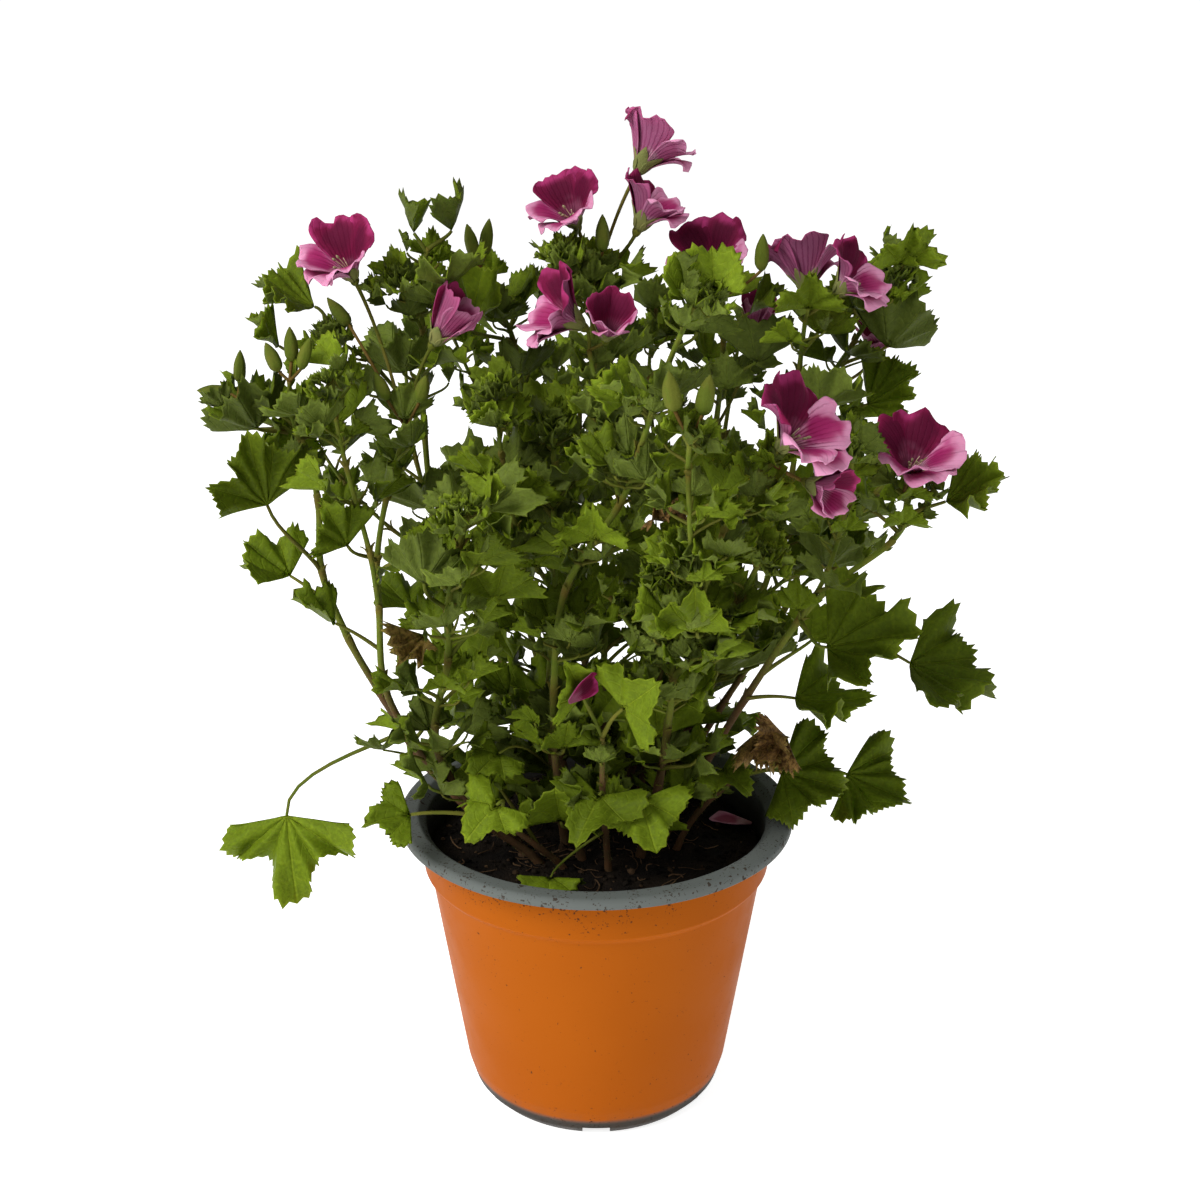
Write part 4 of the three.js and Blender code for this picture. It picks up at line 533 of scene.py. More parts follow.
def spikes(skin, base, direction, length, width, **values):
    """Fine hairs: each is a slim pyramid, three points round its base and one at its tip."""
    n = len(base)
    if not n:
        return
    direction = unit(direction)
    side = unit(np.cross(direction, np.where(np.abs(direction[:, 2:]) < 0.8, UP, (1.0, 0.0, 0.0))))
    rise = np.cross(direction, side)
    angle = np.arange(3) * 2 * np.pi / 3
    ring = side[:, None] * np.cos(angle)[:, None] + rise[:, None] * np.sin(angle)[:, None]
    foot = base[:, None] - direction[:, None] * 0.1 + ring * width
    tip = base + direction * np.broadcast_to(length, n)[:, None]
    points = np.concatenate([foot, tip[:, None]], 1).reshape(-1, 3)
    shape = np.array(((0, 1, 3), (1, 2, 3), (2, 0, 3), (0, 2, 1)))
    faces = (shape[None] + 4 * np.arange(n)[:, None, None]).reshape(-1, 3)
    skin.add(points, faces, (0, 0), **values)


def hairs_on_line(skin, centres, radii, density, length, rng, **values):
    """Hairs scattered over a tube, at random along it and round it, standing out and leaning forwards."""
    span = np.linalg.norm(centres[-1] - centres[0])
    n = int(span * density)
    if n < 1:
        return
    side, rise = frames(centres)
    t = rng.uniform(0, len(centres) - 1.001, n)
    i = t.astype(int)
    f = (t - i)[:, None]
    mix = lambda a: a[i] * (1 - f) + a[i + 1] * f
    angle = rng.uniform(0, 2 * np.pi, (n, 1))
    out = unit(mix(side) * np.cos(angle) + mix(rise) * np.sin(angle))
    radius = np.asarray(radii)
    radius = radius[i] * (1 - f[:, 0]) + radius[i + 1] * f[:, 0]
    lean = unit(np.gradient(centres, axis=0))[i] * rng.uniform(-0.2, 0.5, (n, 1))
    longs = length * rng.uniform(0.5, 1.2, n)
    spikes(skin, mix(centres) + out * radius[:, None], out + lean, longs, HAIR_WIDTH, **values)


# ---- the plant's plan ------------------------------------------------------------------------

def leaf_of(hub, ahead, face, size, cup, spread, tips, deep=LOBE_DEPTH, **more):
    """A leaf's own frame: heading, and its upper side made square to it."""
    heading = unit(ahead)
    upper = unit(face - heading * (face @ heading))
    return dict(hub=hub, ahead=heading, face=upper, size=size, cup=cup, spread=spread, tips=tips, deep=deep,
                **more)


def lobed(leaf, s):
    """How far a blade reaches at s from -1 to 1 over its fan: three lobes, the middle one longest."""
    return (1 - 0.16 * np.abs(s) ** 1.6) * (1 - leaf["deep"] * np.sin(LOBE_WAVE * s) ** 2)


def fold(leaf, s):
    """How steeply a blade rises from its hub: the cup, and more towards its two sides."""
    return leaf["cup"] * (0.6 + 0.7 * np.abs(s))


def rim_points(leaf):
    """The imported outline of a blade, on its upper face: tips and notches in turn over an open fan."""
    count = leaf["tips"] * 2 - 1
    s = np.linspace(-1, 1, count)
    notch = np.arange(count) % 2
    reach = lobed(leaf, s) * np.where(notch, LEAF_NOTCH, 1)
    height = fold(leaf, s) * reach**1.5 + LEAF_PLEAT * np.where(notch, 1, -1) * reach
    height = leaf["size"] * height + BLADE / 2 * math.sqrt(1 + leaf["cup"] ** 2)
    side = np.cross(leaf["face"], leaf["ahead"])
    angle = (s * leaf["spread"])[:, None]
    flat = leaf["ahead"] * np.cos(angle) + side * np.sin(angle)
    return leaf["hub"] + flat * (leaf["size"] * reach)[:, None] + leaf["face"] * height[:, None]


def corners(node):
    """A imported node's vertices in millimetres."""
    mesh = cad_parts[node].data
    out = np.empty(len(mesh.vertices) * 3)
    mesh.vertices.foreach_get("co", out)
    return out.reshape(-1, 3) / MM


def grown(tries, vertices):
    """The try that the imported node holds: the one whose blade outline lies on its vertices, or None."""
    for leaf in tries:
        gaps = np.linalg.norm(rim_points(leaf)[:, None] - vertices[None], axis=-1).min(axis=1)
        if (gaps < MATCH_GAP).mean() > MATCH_SHARE:
            return leaf
    return None


NUDGES = ((0, 1), (0.25, 1), (-0.25, 1), (0.5, 0.92), (-0.5, 0.92), (0.25, 0.82), (-0.25, 0.82),
          (0.75, 0.75), (-0.75, 0.75))
TURNS = (0, 0.5, -0.5, 1, -1, 1.6, -1.6, 2.3, -2.3, 3.1)


def placed_leaves(stem, vertices):
    """The leaves of a stem that have a place of their own."""
    found = []
    for owner, foot, hub, tip, face, spread, cup, deep in BLADES:
        if owner != stem:
            continue
        ahead = vec(tip) - vec(hub)
        length = np.linalg.norm(ahead)
        tries = []
        for angle, scale in NUDGES:
            upper = turn(vec(face), ahead / length, angle)
            tips = 7 if length > BIG_LEAF else 5
            tries.append(leaf_of(vec(hub), ahead, upper, length * scale, cup, spread, tips, deep,
                                 foot=vec(foot), age=0.75))
        leaf = grown(tries, vertices)
        if leaf:
            found.append(leaf)
    return found


def spiral_tries(branch, joint, order, young, seed):
    """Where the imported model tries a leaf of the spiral: turned away step by step from where it grows."""
    path, _, _, reach, size, _ = branch
    draw = seeded(seed)
    points = [vec(p) for p in path]
    t = joint / (len(points) - 1)
    low = max(joint - 1, 0)
    if young:
        foot = points[-1] + (points[-2] - points[-1]) * (0.05 + 0.08 * (order % 3))
    else:
        foot = points[low] + (points[low + 1] - points[low]) * (0.3 + 0.12 * (order % 3))
    stemward = unit(spline(path, min(t + 1e-4, 1)) - spline(path, max(t - 1e-4, 0)))
    start = order * GOLDEN_ANGLE + draw() * 0.9
    shrink = 0.4 + 0.2 * draw() if young else 1 - 0.42 * t + 0.25 * (draw() - 0.5)
    outwards = vec(foot[0], foot[1], 0) * 0.007
    tilt = draw()
    tries = []
    for k, step in enumerate(TURNS):
        around = vec(math.cos(start + step), math.sin(start + step), 0)
        far = reach * shrink * (0.5 if young else 1) * (1 + 0.05 * (k % 3))
        hub = foot + around * far * 0.75 + stemward * far * (0.85 if young else 0.55)
        ahead = around * (0.55 if young else 0.9) + UP * (0.8 if young else 0.2 + 0.5 * tilt)
        face = vec(0, 0, 0.7 if young else 1) - around * 0.5 * tilt + outwards
        cup = 0.45 + 0.25 * tilt if young else 0.3 + 0.35 * tilt
        tries.append(leaf_of(hub, ahead, face, size * shrink * (1 - 0.045 * k), cup, 1.2 + 0.35 * tilt,
                             4 if young else 5, foot=foot,
                             age=0.25 + 0.25 * tilt if young else 0.9 - 0.4 * t))
    return tries


def spiral_leaves(branches, seed, vertices):
    """The leaves of a stem that follow it in a spiral, and how many seeds they used."""
    found, used = [], 0
    for b, branch in enumerate(branches):
        first, last, count = branch[2]
        joints = len(branch[0]) - 1
        plan = []
        for i in range(count):
            t = first + (last - first) * (i / (count - 1) if count > 1 else 0.5)
            plan.append((math.floor(t * joints + 0.5), i + b * 2, False))
        plan += [(joints, i + b * 3, True) for i in range(branch[5])]
        for joint, order, young in plan:
            used += 1
            leaf = grown(spiral_tries(branch, joint, order, young, seed + used), vertices)
            if leaf:
                found.append(leaf)
    return found, used


def sample_points(leaf):
    """A few points over a blade, to tell whether two leaves would touch."""
    s, r = np.meshgrid(np.linspace(-0.95, 0.95, 5), (0.35, 0.65, 0.95))
    s, r = s.ravel(), r.ravel()
    side = np.cross(leaf["face"], leaf["ahead"])
    angle = (s * leaf["spread"])[:, None]
    reach = (r * lobed(leaf, s))[:, None]
    flat = (leaf["ahead"] * np.cos(angle) + side * np.sin(angle)) * reach
    return leaf["hub"] + leaf["size"] * (flat + leaf["face"] * fold(leaf, s)[:, None] * reach**1.5)


class Crowd:
    """Points that are taken, to keep further leaves clear of them."""

    def __init__(self):
        self.taken = np.zeros((0, 3))

    def add(self, points):
        self.taken = np.concatenate([self.taken, points])

    def room(self, points):
        """The least distance from the points to what is taken."""
        near = self.taken[(np.abs(self.taken - points.mean(axis=0)) < CROWD_REACH).all(axis=1)]
        if not len(near):
            return 99.0
        return np.linalg.norm(points[:, None] - near[None], axis=-1).min()


def rosette(crowd, foot, centre, growing, count, size, age, seed):
    """Small leaves round the tip of a shoot: each turned by the golden angle from the one before, and
    leaning out more the lower it stands."""
    rng = np.random.default_rng(seed)
    growing = unit(vec(growing))
    side = unit(np.cross(growing, vec(0.3, 1, 0.2)))
    rise = np.cross(growing, side)
    found = []
    for i in range(count + 3):
        share = i / (count + 2)
        best, best_room = None, 0.3
        for k in range(6):
            angle = i * GOLDEN_ANGLE + k * 1.05 + rng.uniform(0, 0.6)
            around = side * math.cos(angle) + rise * math.sin(angle)
            lean = 0.3 + 0.85 * share + rng.uniform(-0.1, 0.2)
            length = 0.8 * size * (0.5 + 0.5 * share) * rng.uniform(0.85, 1.15)
            ahead = around * lean + growing * (1.15 - 0.45 * share)
            hub = vec(centre) + around * length * (0.1 + 0.35 * share)
            hub = hub - growing * length * (0.1 + 0.4 * share)
            face = growing * (0.6 + 0.5 * share) - around * (1.1 - 0.5 * share) + UP * 0.4
            leaf = leaf_of(hub, ahead, face, length, rng.uniform(0.3, 0.55), rng.uniform(0.9, 1.2), 5, 0.36,
                           foot=vec(foot), age=age * (0.4 + 0.6 * share), crisp=2.0)
            room = crowd.room(sample_points(leaf))
            if room > best_room:
                best, best_room = leaf, room
        if best:
            crowd.add(sample_points(best))
            found.append(best)
    return found


def filler_leaves(crowd, stem, branches, per_joint, seed):
    """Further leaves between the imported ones, by the same spiral: each keeps the try with most room."""
    found = []
    bare = BARE_BELOW.get(stem, BARE_ELSEWHERE)
    per_joint = per_joint * (0.6 if stem in BARE_BELOW else 1)
    for b, branch in enumerate(branches):
        joints = len(branch[0]) - 1
        for i in range(int(joints * per_joint)):
            rng = np.random.default_rng(seed + 97 * b + i)
            joint = 1 + int((i + 0.5) / per_joint)
            if joint > joints or branch[0][joint][2] < bare:
                continue
            if joint == joints and rng.uniform(0, 1) < 0.45:
                continue
            young = joint == joints and rng.uniform(0, 1) < 0.4
            size = branch[4] * rng.uniform(0.65, 1.15)
            upright, way = rng.uniform(0, 1) < 0.6, rng.choice((-0.8, 0.8))
            smaller = (branch[0], branch[1], branch[2], branch[3] * rng.uniform(0.5, 0.95), size, 0)
            best, best_room = None, 0.7
            for leaf in spiral_tries(smaller, joint, i + 5 * b + 2, young, seed + 13 * i + b):
                if upright:
                    around = unit(leaf["ahead"] * (1, 1, 0))
                    leaf = leaf_of(leaf["hub"], around * 0.35 + UP, around * way + UP * 0.35, leaf["size"],
                                   leaf["cup"], leaf["spread"], 5, 0.22, foot=leaf["foot"], age=leaf["age"])
                leaf["crisp"] = 1.5
                room = crowd.room(sample_points(leaf))
                if room > best_room:
                    best, best_room = leaf, room
            if best:
                crowd.add(sample_points(best))
                found.append(best)
    return found


PLAN = {}


def plan():
    """Every leaf of the plant by stem, worked out once."""
    if PLAN:
        return PLAN
    crowd = Crowd()
    seed = 1000
    for stem, branches in STEMS.items():
        vertices = corners(f"stem_{stem}")
        spiral, used = spiral_leaves(branches, seed, vertices)
        seed += used
        PLAN[stem] = placed_leaves(stem, vertices) + spiral
        for leaf in PLAN[stem]:
            crowd.add(sample_points(leaf))
    for flower in BLOOMS + BUDDING:
        base, facing = vec(flower[3]), unit(vec(flower[4]))
        spread = np.linspace(2, flower[6] * 1.1, 4)[:, None]
        around = np.cross(facing, vec(0.3, 0.2, 1))
        for angle in np.arange(8) * math.pi / 4:
            crowd.add(base + facing * spread * 0.7 + turn(unit(around), facing, angle) * spread * 0.8)
    for *_, base, tip, _ in BUDS:
        crowd.add(vec(base) + (vec(tip) - vec(base)) * np.linspace(-0.2, 1.3, 6)[:, None])
    for i, (stem, foot, centre, growing, count, size, age) in enumerate(TUFTS):
        PLAN[stem] += rosette(crowd, foot, centre, growing, count, size, age, 40 + i)
    for i, (stem, branches) in enumerate(STEMS.items()):
        fullness = bpy.context.scene.pelargonium_leaves.fullness
        PLAN[stem] += filler_leaves(crowd, stem, branches, fullness, 500 + 31 * i)
    return PLAN


# ---- surfaces of the plant -------------------------------------------------------------------

# Blades by size: teeth between two ribs, and the rows from hub to rim
LEAF_GRIDS = (
    (12, 4, (0, 0.3, 0.62, 0.86, 1)),
    (16, 5, (0, 0.28, 0.56, 0.84, 1)),
    (20, 5, (0, 0.22, 0.44, 0.66, 0.84, 0.96, 1)),
    (99, 6, (0, 0.1, 0.26, 0.42, 0.57, 0.7, 0.81, 0.9, 0.96, 0.992, 1)),
)


def blade(skin, leaf, seed):
    """A leaf blade on a fan of rays from its hub. Along a ray the reach runs to a rim of three lobes with a
    shallow notch between every two ribs, cut into sharp teeth; the height is a cup that rises as the reach
    to the power 1.5 and more at the sides, pleats that dip at the ribs, and a ripple that grows towards the
    rim."""
    props = bpy.context.scene.pelargonium_leaves
    rng = np.random.default_rng(seed)
    tips, size, crisp = leaf["tips"], leaf["size"], leaf.get("crisp", 1.3) * props.ripple
    half, rows = next(grid[1:] for grid in LEAF_GRIDS if size < grid[0])
    teeth = np.linspace(0, tips - 1, (tips - 1) * half * 2 + 1)
    x = np.concatenate([teeth[:1], [0.05], teeth[1:-1], [tips - 1.05], teeth[-1:]])
    r = np.array(rows)[:, None]
    s = (x / (tips - 1) * 2 - 1)[None]
    x = x[None]
    notch = np.abs(x - np.round(x)) * 2
    jag = rng.uniform(0.5, 1.4, 64)[np.round(x * half).astype(int)]
    tooth = np.abs(2 * np.mod(x * half, 1) - 1) * jag - 0.5
    wander = 1 + 0.06 * lumps(x * 0.7 + seed, r * 0 + 3.3, 5)
    reach = r * lobed(leaf, s) * (1 - 0.5 * (1 - LEAF_NOTCH) * notch**1.2) * wander
    reach = reach * (1 + props.teeth * (0.3 + 11 / (size + 4)) * (0.7 + 0.25 * crisp) * tooth * r**3)
    phase = rng.uniform(0, 6.28, 5)
    pleat = -LEAF_PLEAT * np.cos(2 * math.pi * x) * reach * (1 + 0.6 * crisp * r**2)
    ripple = 0.06 * crisp * r**3 * (np.sin(4.3 * x + phase[0]) + 0.7 * np.sin(8.1 * x + phase[1]))
    pucker = 0.026 * np.sin(10 * r + phase[2]) * np.sin(3 * math.pi * x + phase[3]) * r
    sag = -0.1 * leaf["age"] * r**3
    height = fold(leaf, s) * reach**1.5 + pleat + ripple + pucker + sag
    side = np.cross(leaf["face"], leaf["ahead"])
    angle = s * leaf["spread"] + 0.05 * np.sin(5 * x + phase[4]) * r**2
    flat = leaf["ahead"] * np.cos(angle)[..., None] + side * np.sin(angle)[..., None]
    middle = leaf["hub"] + flat * (size * reach)[..., None] + leaf["face"] * (size * height)[..., None]
    uv = np.stack(np.broadcast_arrays(x, r), -1)
    sheet(skin, middle, LEAF_THICKNESS, uv, pole=True, age=leaf["age"], tint=rng.uniform(-1, 1),
          dry=leaf.get("dry", 0.0))


def leaf_stalk(skin, hairs, leaf, rng):
    """A leaf stalk: a cubic that leaves its foot a little upwards and meets the blade along its heading."""
    foot, hub = leaf["foot"], leaf["hub"]
    length = np.linalg.norm(hub - foot)
    t = np.linspace(0, 1, 9)[:, None]
    one = foot + (hub - foot) * 0.3 + UP * 0.05 * length
    two = hub - leaf["ahead"] * 0.3 * length
    line = (1 - t) ** 3 * foot + 3 * t * (1 - t) ** 2 * one + 3 * t * t * (1 - t) * two + t**3 * hub
    thick = (0.42 if leaf["size"] < 13 else 0.62) * (1.25 - 0.45 * t[:, 0])
    wood = 0.15 + 0.3 * leaf["age"] * (1 - t[:, 0])
    tube(skin, line, thick, 6, wood=wood, red=0.25 * rng.uniform(0, 1), tint=rng.uniform(-1, 1))
    hairs_on_line(hairs, line, thick, 0.9, 0.6, rng, wood=0.0, red=0.0, tint=0.0)


def spearhead(skin, base, tip, face, width, bow=0.12, **values):
    """A small pointed leaf: as wide as the sine of the way along, and bowed by a share of its length."""
    along = tip - base
    side = unit(np.cross(face, along))
    t = np.array((0, 0.12, 0.3, 0.5, 0.72, 0.9, 1.0))[:, None]
    a = np.array((-1, -0.85, 0, 0.85, 1))[None]
    wide = width * (0.25 * (1 - t) + np.sin(math.pi * t**0.7)) * 0.8 + 0.02
    middle = base + along * t[..., None] + side * (wide * a)[..., None]
    bend = np.sin(math.pi * t) - 0.8 * np.abs(a) * (1 - t)
    rise = np.linalg.norm(along) * bow * bend + wide * 0.35 * a * a
    middle = middle + unit(face) * rise[..., None]
    uv = np.stack(np.broadcast_arrays(a, t), -1)
    sheet(skin, middle, 0.3, uv, **values)


def woody(z):
    """How brown a stem is at a height: all brown at the soil, and green from the middle of the plant."""
    return np.clip((172 - z) / 70, 0, 1)


def stem_lines(skin, hairs, branches, rng, dark):
    """The stem and its shoots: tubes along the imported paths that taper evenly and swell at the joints, with
    two small pointed stipules at each joint."""
    for b, (path, thick, *_) in enumerate(branches):
        spans = len(path) - 1
        t = np.linspace(0, 1, spans * 7 + 1)
        line = spline(path, t)
        if b == 0:
            below = np.array([(*path[0][:2], z) for z in (SOIL_LEVEL - ROOT_DEPTH + 0.3, SOIL_LEVEL - 2)])
            line = np.concatenate([below, line[2:]])
            t = np.concatenate([[0, 0], t[2:]])
        joint = np.abs(np.mod(t * spans + 0.5, 1) - 0.5) * 2
        swell = np.exp(-((joint / 0.22) ** 2))
        radii = (thick[0] + (thick[1] - thick[0]) * t) * (0.92 + 0.2 * swell)
        wood = np.clip(woody(line[:, 2]) + (0.35 if dark else 0) * (1 - t), 0, 1)
        tube(skin, line, radii, 10, wood=wood, red=0.45 * swell * (1 - wood * 0.5), tint=rng.uniform(-1, 1))
        hairs_on_line(hairs, line, radii, 3.1, 0.8, rng, wood=0.0, red=0.0, tint=0.0)
        for k in range(1, spans):
            here, after = spline(path, k / spans), spline(path, (k + 0.2) / spans)
            if here[2] < 105:
                continue
            along = unit(after - here)
            out = unit(np.cross(along, rng.normal(size=3)))
            for way in (out, -out):
                spearhead(skin, here + way * thick[1], here + way * 2.6 + along * 2.8, -way + along, 1.1,
                          wood=0.25, red=0.3, tint=0.4)


def flower_stalk(skin, hairs, foot, base, axis, rng):
    """A flower stalk and its calyx: a bent tube, a cup, and five pointed sepals spread round it."""
    neck = base - axis * 0.4 * np.linalg.norm(base - foot)
    t = np.linspace(0, 1, 12)[:, None]
    line = (1 - t) ** 2 * foot + 2 * t * (1 - t) * neck + t * t * (base - axis * 1.2)
    thick = 0.55 + 0.12 * t[:, 0] ** 4
    tube(skin, line, thick, 7, wood=0.0, red=rng.uniform(0.2, 0.8) * (1 - 0.5 * t[:, 0]),
         tint=rng.uniform(-1, 1))
    hairs_on_line(hairs, line, thick, 2.8, 0.7, rng, wood=0.0, red=0.0, tint=0.0)
    cup = base + axis * np.linspace(-2.6, 0.3, 6)[:, None]
    tube(skin, cup, (0.55, 1.0, 1.3, 1.45, 1.45, 1.1), 10, ribs=0.1, wood=0.0, red=0.15, tint=0.3)
    side = unit(np.cross(axis, np.eye(3)[np.argmin(np.abs(axis))]))
    for k in range(5):
        out = turn(side, axis, k * 2 * math.pi / 5)
        root = base + out * 1.2 - axis * 0.5
        tip = base + out * SEPAL_LENGTH * 0.92 + axis * SEPAL_LENGTH * 1.1
        spearhead(skin, root, tip, axis * 0.7 - out, 2.6, bow=0.04, wood=0.0, red=0.05, tint=1.0, pale=0.1)


def bud(skin, hairs, foot, base, tip, size, rng):
    """A pointed bud on its stalk: a ribbed tube that swells in its first third and runs to a point."""
    axis = tip - base
    long = np.linalg.norm(axis)
    middle = (foot + base) / 2 - axis / long * 0.1 * np.linalg.norm(base - foot)
    t = np.linspace(0, 1, 8)[:, None]
    line = (1 - t) ** 2 * foot + 2 * t * (1 - t) * middle + t * t * base
    tube(skin, line, np.full(8, 0.5), 6, wood=0.0, red=0.6, tint=0.0)
    t = np.array((0, 0.06, 0.16, 0.3, 0.42, 0.55, 0.68, 0.8, 0.9, 0.97, 1.0))
    wide = np.interp(t, (0, 0.06, 0.16, 0.32, 0.55, 0.72, 0.9, 1),
                     (0.3, 0.66, 0.92, 1, 0.94, 0.74, 0.36, 0.06))
    body = base + axis * 0.86 * t[:, None]
    tube(skin, body, BUD_RADIUS * 0.92 * size * wide, 15, ribs=0.1, wood=0.0, red=0.02 + 0.06 * t,
         tint=rng.uniform(-0.8, 0.2))
    hairs_on_line(hairs, body, BUD_RADIUS * 0.92 * size * wide, 4, 0.6, rng, wood=0.0, red=0.0, tint=0.0)


def bloom_frame(flower):
    """A bloom's own frame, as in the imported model: the way it opens, the side of its dark petals, and how
    far its cone spreads and rises."""
    base, facing, crown, radius, opening = flower[3:]
    axis = unit(vec(facing))
    top = vec(crown)
    top = unit(top - axis * (top @ axis))
    return dict(base=vec(base), axis=axis, crown=top, wing=np.cross(top, axis), open=opening, size=radius,
                height=radius * (0.6 + 0.7 * (1 - opening)), radius=radius * (0.25 + 0.7 * opening))


# A petal is its angle round the axis, its half width, its reach, its rise and the phase of its ripple
UPPER_PETALS = ((0.94, 0.56, 0.95, 1.1, 0.6), (2.2, 0.56, 0.95, 1.1, 2.4))
LOWER_PETALS = ((-2.52, 0.49, 1, 0.95, 2.9), (-1.57, 0.52, 1.05, 0.8, 0.2), (-0.62, 0.49, 1, 0.95, 1.2))
PETAL_ROWS = np.array((0, 0.04, 0.12, 0.22, 0.33, 0.44, 0.54, 0.63, 0.71, 0.78, 0.84, 0.89, 0.935, 0.968,
                       0.99, 1.0))
PETAL_COLUMNS = np.array((-1, -0.97, -0.86, -0.7, -0.52, -0.35, -0.17, 0, 0.17, 0.35, 0.52, 0.7, 0.86,
                          0.97, 1))


def petal(skin, bloom, shape, seed, tint):
    """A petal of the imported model, finer: round the axis of the bloom the radius grows as a power of the way
    along and the height as one minus a power of the rest, both larger on an open bloom; a sine widens the
    claw to a rounded blade, and a ripple grows towards its rim."""
    angle, width, reach, rise, phase = shape
    rng = np.random.default_rng(seed)
    axis = bloom["axis"]
    outward = bloom["crown"] * math.sin(angle) + bloom["wing"] * math.cos(angle)
    sideways = np.cross(axis, outward)
    across = PETAL_COLUMNS[None]
    along = PETAL_ROWS[:, None]
    size = bloom["size"]
    frill = 0.02 * np.sin(7 * across + rng.uniform(0, 6)) + 0.01 * np.sin(17 * across + rng.uniform(0, 6))
    rounded = along * (1 - (0.1 * across**2 + 0.13 * across**6) * along + along**5 * frill)
    wide = width * (0.1 + 0.9 * np.sin(np.minimum(rounded, 0.8) * 1.9635)) * size
    wide = wide * (1 - 0.16 * np.clip((along - 0.75) * 4, 0, 1) ** 2)
    flare, steep = 0.85 + 0.75 * bloom["open"], 1.1 + 0.6 * bloom["open"]
    radius = CLAW_RADIUS + bloom["radius"] * reach * rounded**flare
    height = CLAW_HEIGHT + bloom["height"] * rise * (1 - (1 - np.minimum(rounded, 1)) ** steep)
    ripple = 0.06 * size * along * np.cos(across * 4.2 + phase)
    ripple = ripple + 0.075 * size * along**4 * np.sin(across * 6.5 + rng.uniform(0, 6))
    ripple = ripple + 0.02 * size * along**8 * np.sin(across * 16 + rng.uniform(0, 6))
    ripple = ripple + 0.05 * size * np.abs(across) ** 3 * along * np.sin(along * 8 + rng.uniform(0, 6))
    ripple = ripple + 0.08 * size * across * along**2
    cup = 0.13 * size * np.sin(math.pi * along * 0.8) * (across**2 - 0.35)
    roll = np.clip((along - 0.72) * 3.6, 0, 1) ** 2 * (0.4 + 0.6 * across**2)
    cup = cup - 0.08 * bloom["open"] * size * roll
    middle = bloom["base"] + axis * (height + ripple + cup)[..., None] + outward * radius[..., None]
    middle = middle + sideways * (wide * across)[..., None]
    uv = np.stack(np.broadcast_arrays(across, along), -1)
    sheet(skin, middle, PETAL_THICKNESS, uv, tint=tint, folded=1 - bloom["open"], dry=0.0)


def stamens(skin, bloom, seed):
    """Filaments from the throat: slim bent tubes, each with a small anther at its end."""
    rng = np.random.default_rng(seed)
    axis = bloom["axis"]
    side = unit(np.cross(axis, np.eye(3)[np.argmin(np.abs(axis))]))
    for k in range(7):
        out = turn(side, axis, k * 0.9 + rng.uniform(0, 0.4))
        t = np.linspace(0, 1, 6)[:, None]
        high = bloom["height"] * rng.uniform(0.4, 0.65)
        line = bloom["base"] + axis * (0.6 + high * t) + out * (0.4 + 1.5 * t**2)
        line = line - bloom["crown"] * 1.6 * t**2
        tube(skin, line, np.full(6, 0.16), 4, wood=0.0, red=0.0, tint=0.0, pale=1.0)
        if k < 5:
            tip = line[-1] + unit(line[-1] - line[-2]) * np.linspace(-0.7, 0.7, 5)[:, None]
            tube(skin, tip, (0.15, 0.38, 0.42, 0.38, 0.15), 6, wood=0.0, red=0.0, tint=0.0, pale=0.4)


# ---- pot and soil ----------------------------------------------------------------------------

def rounded(profile, reach=0.7):
    """The profile with a short curve in place of each inner corner, between points on its two sides."""
    p = np.asarray(profile, float)
    out = [p[:1]]
    for a, b, c in zip(p[:-2], p[1:-1], p[2:]):
        near = min(reach, 0.42 * np.linalg.norm(a - b))
        far = min(reach, 0.42 * np.linalg.norm(c - b))
        one, two = b + unit(a - b) * near, b + unit(c - b) * far
        t = np.linspace(0, 1, 5)[:, None]
        out.append((1 - t) ** 2 * one + 2 * t * (1 - t) * b + t * t * two)
    return np.concatenate([*out, p[-1:]])


def lathe(skin, profile, sides, **values):
    """A closed turned body: the profile runs from the axis round to the axis and is carried round it."""
    p = np.asarray(profile)
    angle = np.arange(sides) / sides * 2 * np.pi
    ring = np.stack([np.cos(angle), np.sin(angle), np.zeros(sides)], -1)
    inner = p[1:-1]
    points = inner[:, None, :1] * ring[None] + inner[:, None, 1:] * UP
    index = np.arange(len(inner) * sides).reshape(len(inner), sides)
    index = np.concatenate([index, index[:, :1]], 1)
    low, high = len(inner) * sides, len(inner) * sides + 1
    first = np.stack([np.full(sides, low), index[0, 1:], index[0, :-1]], -1)
    last = np.stack([np.full(sides, high), index[-1, :-1], index[-1, 1:]], -1)
    points = np.concatenate([points.reshape(-1, 3), [(0, 0, p[0, 1]), (0, 0, p[-1, 1])]])
    skin.add(points, np.concatenate([cells(index)[:, ::-1], first, last]), (0, 0), **values)


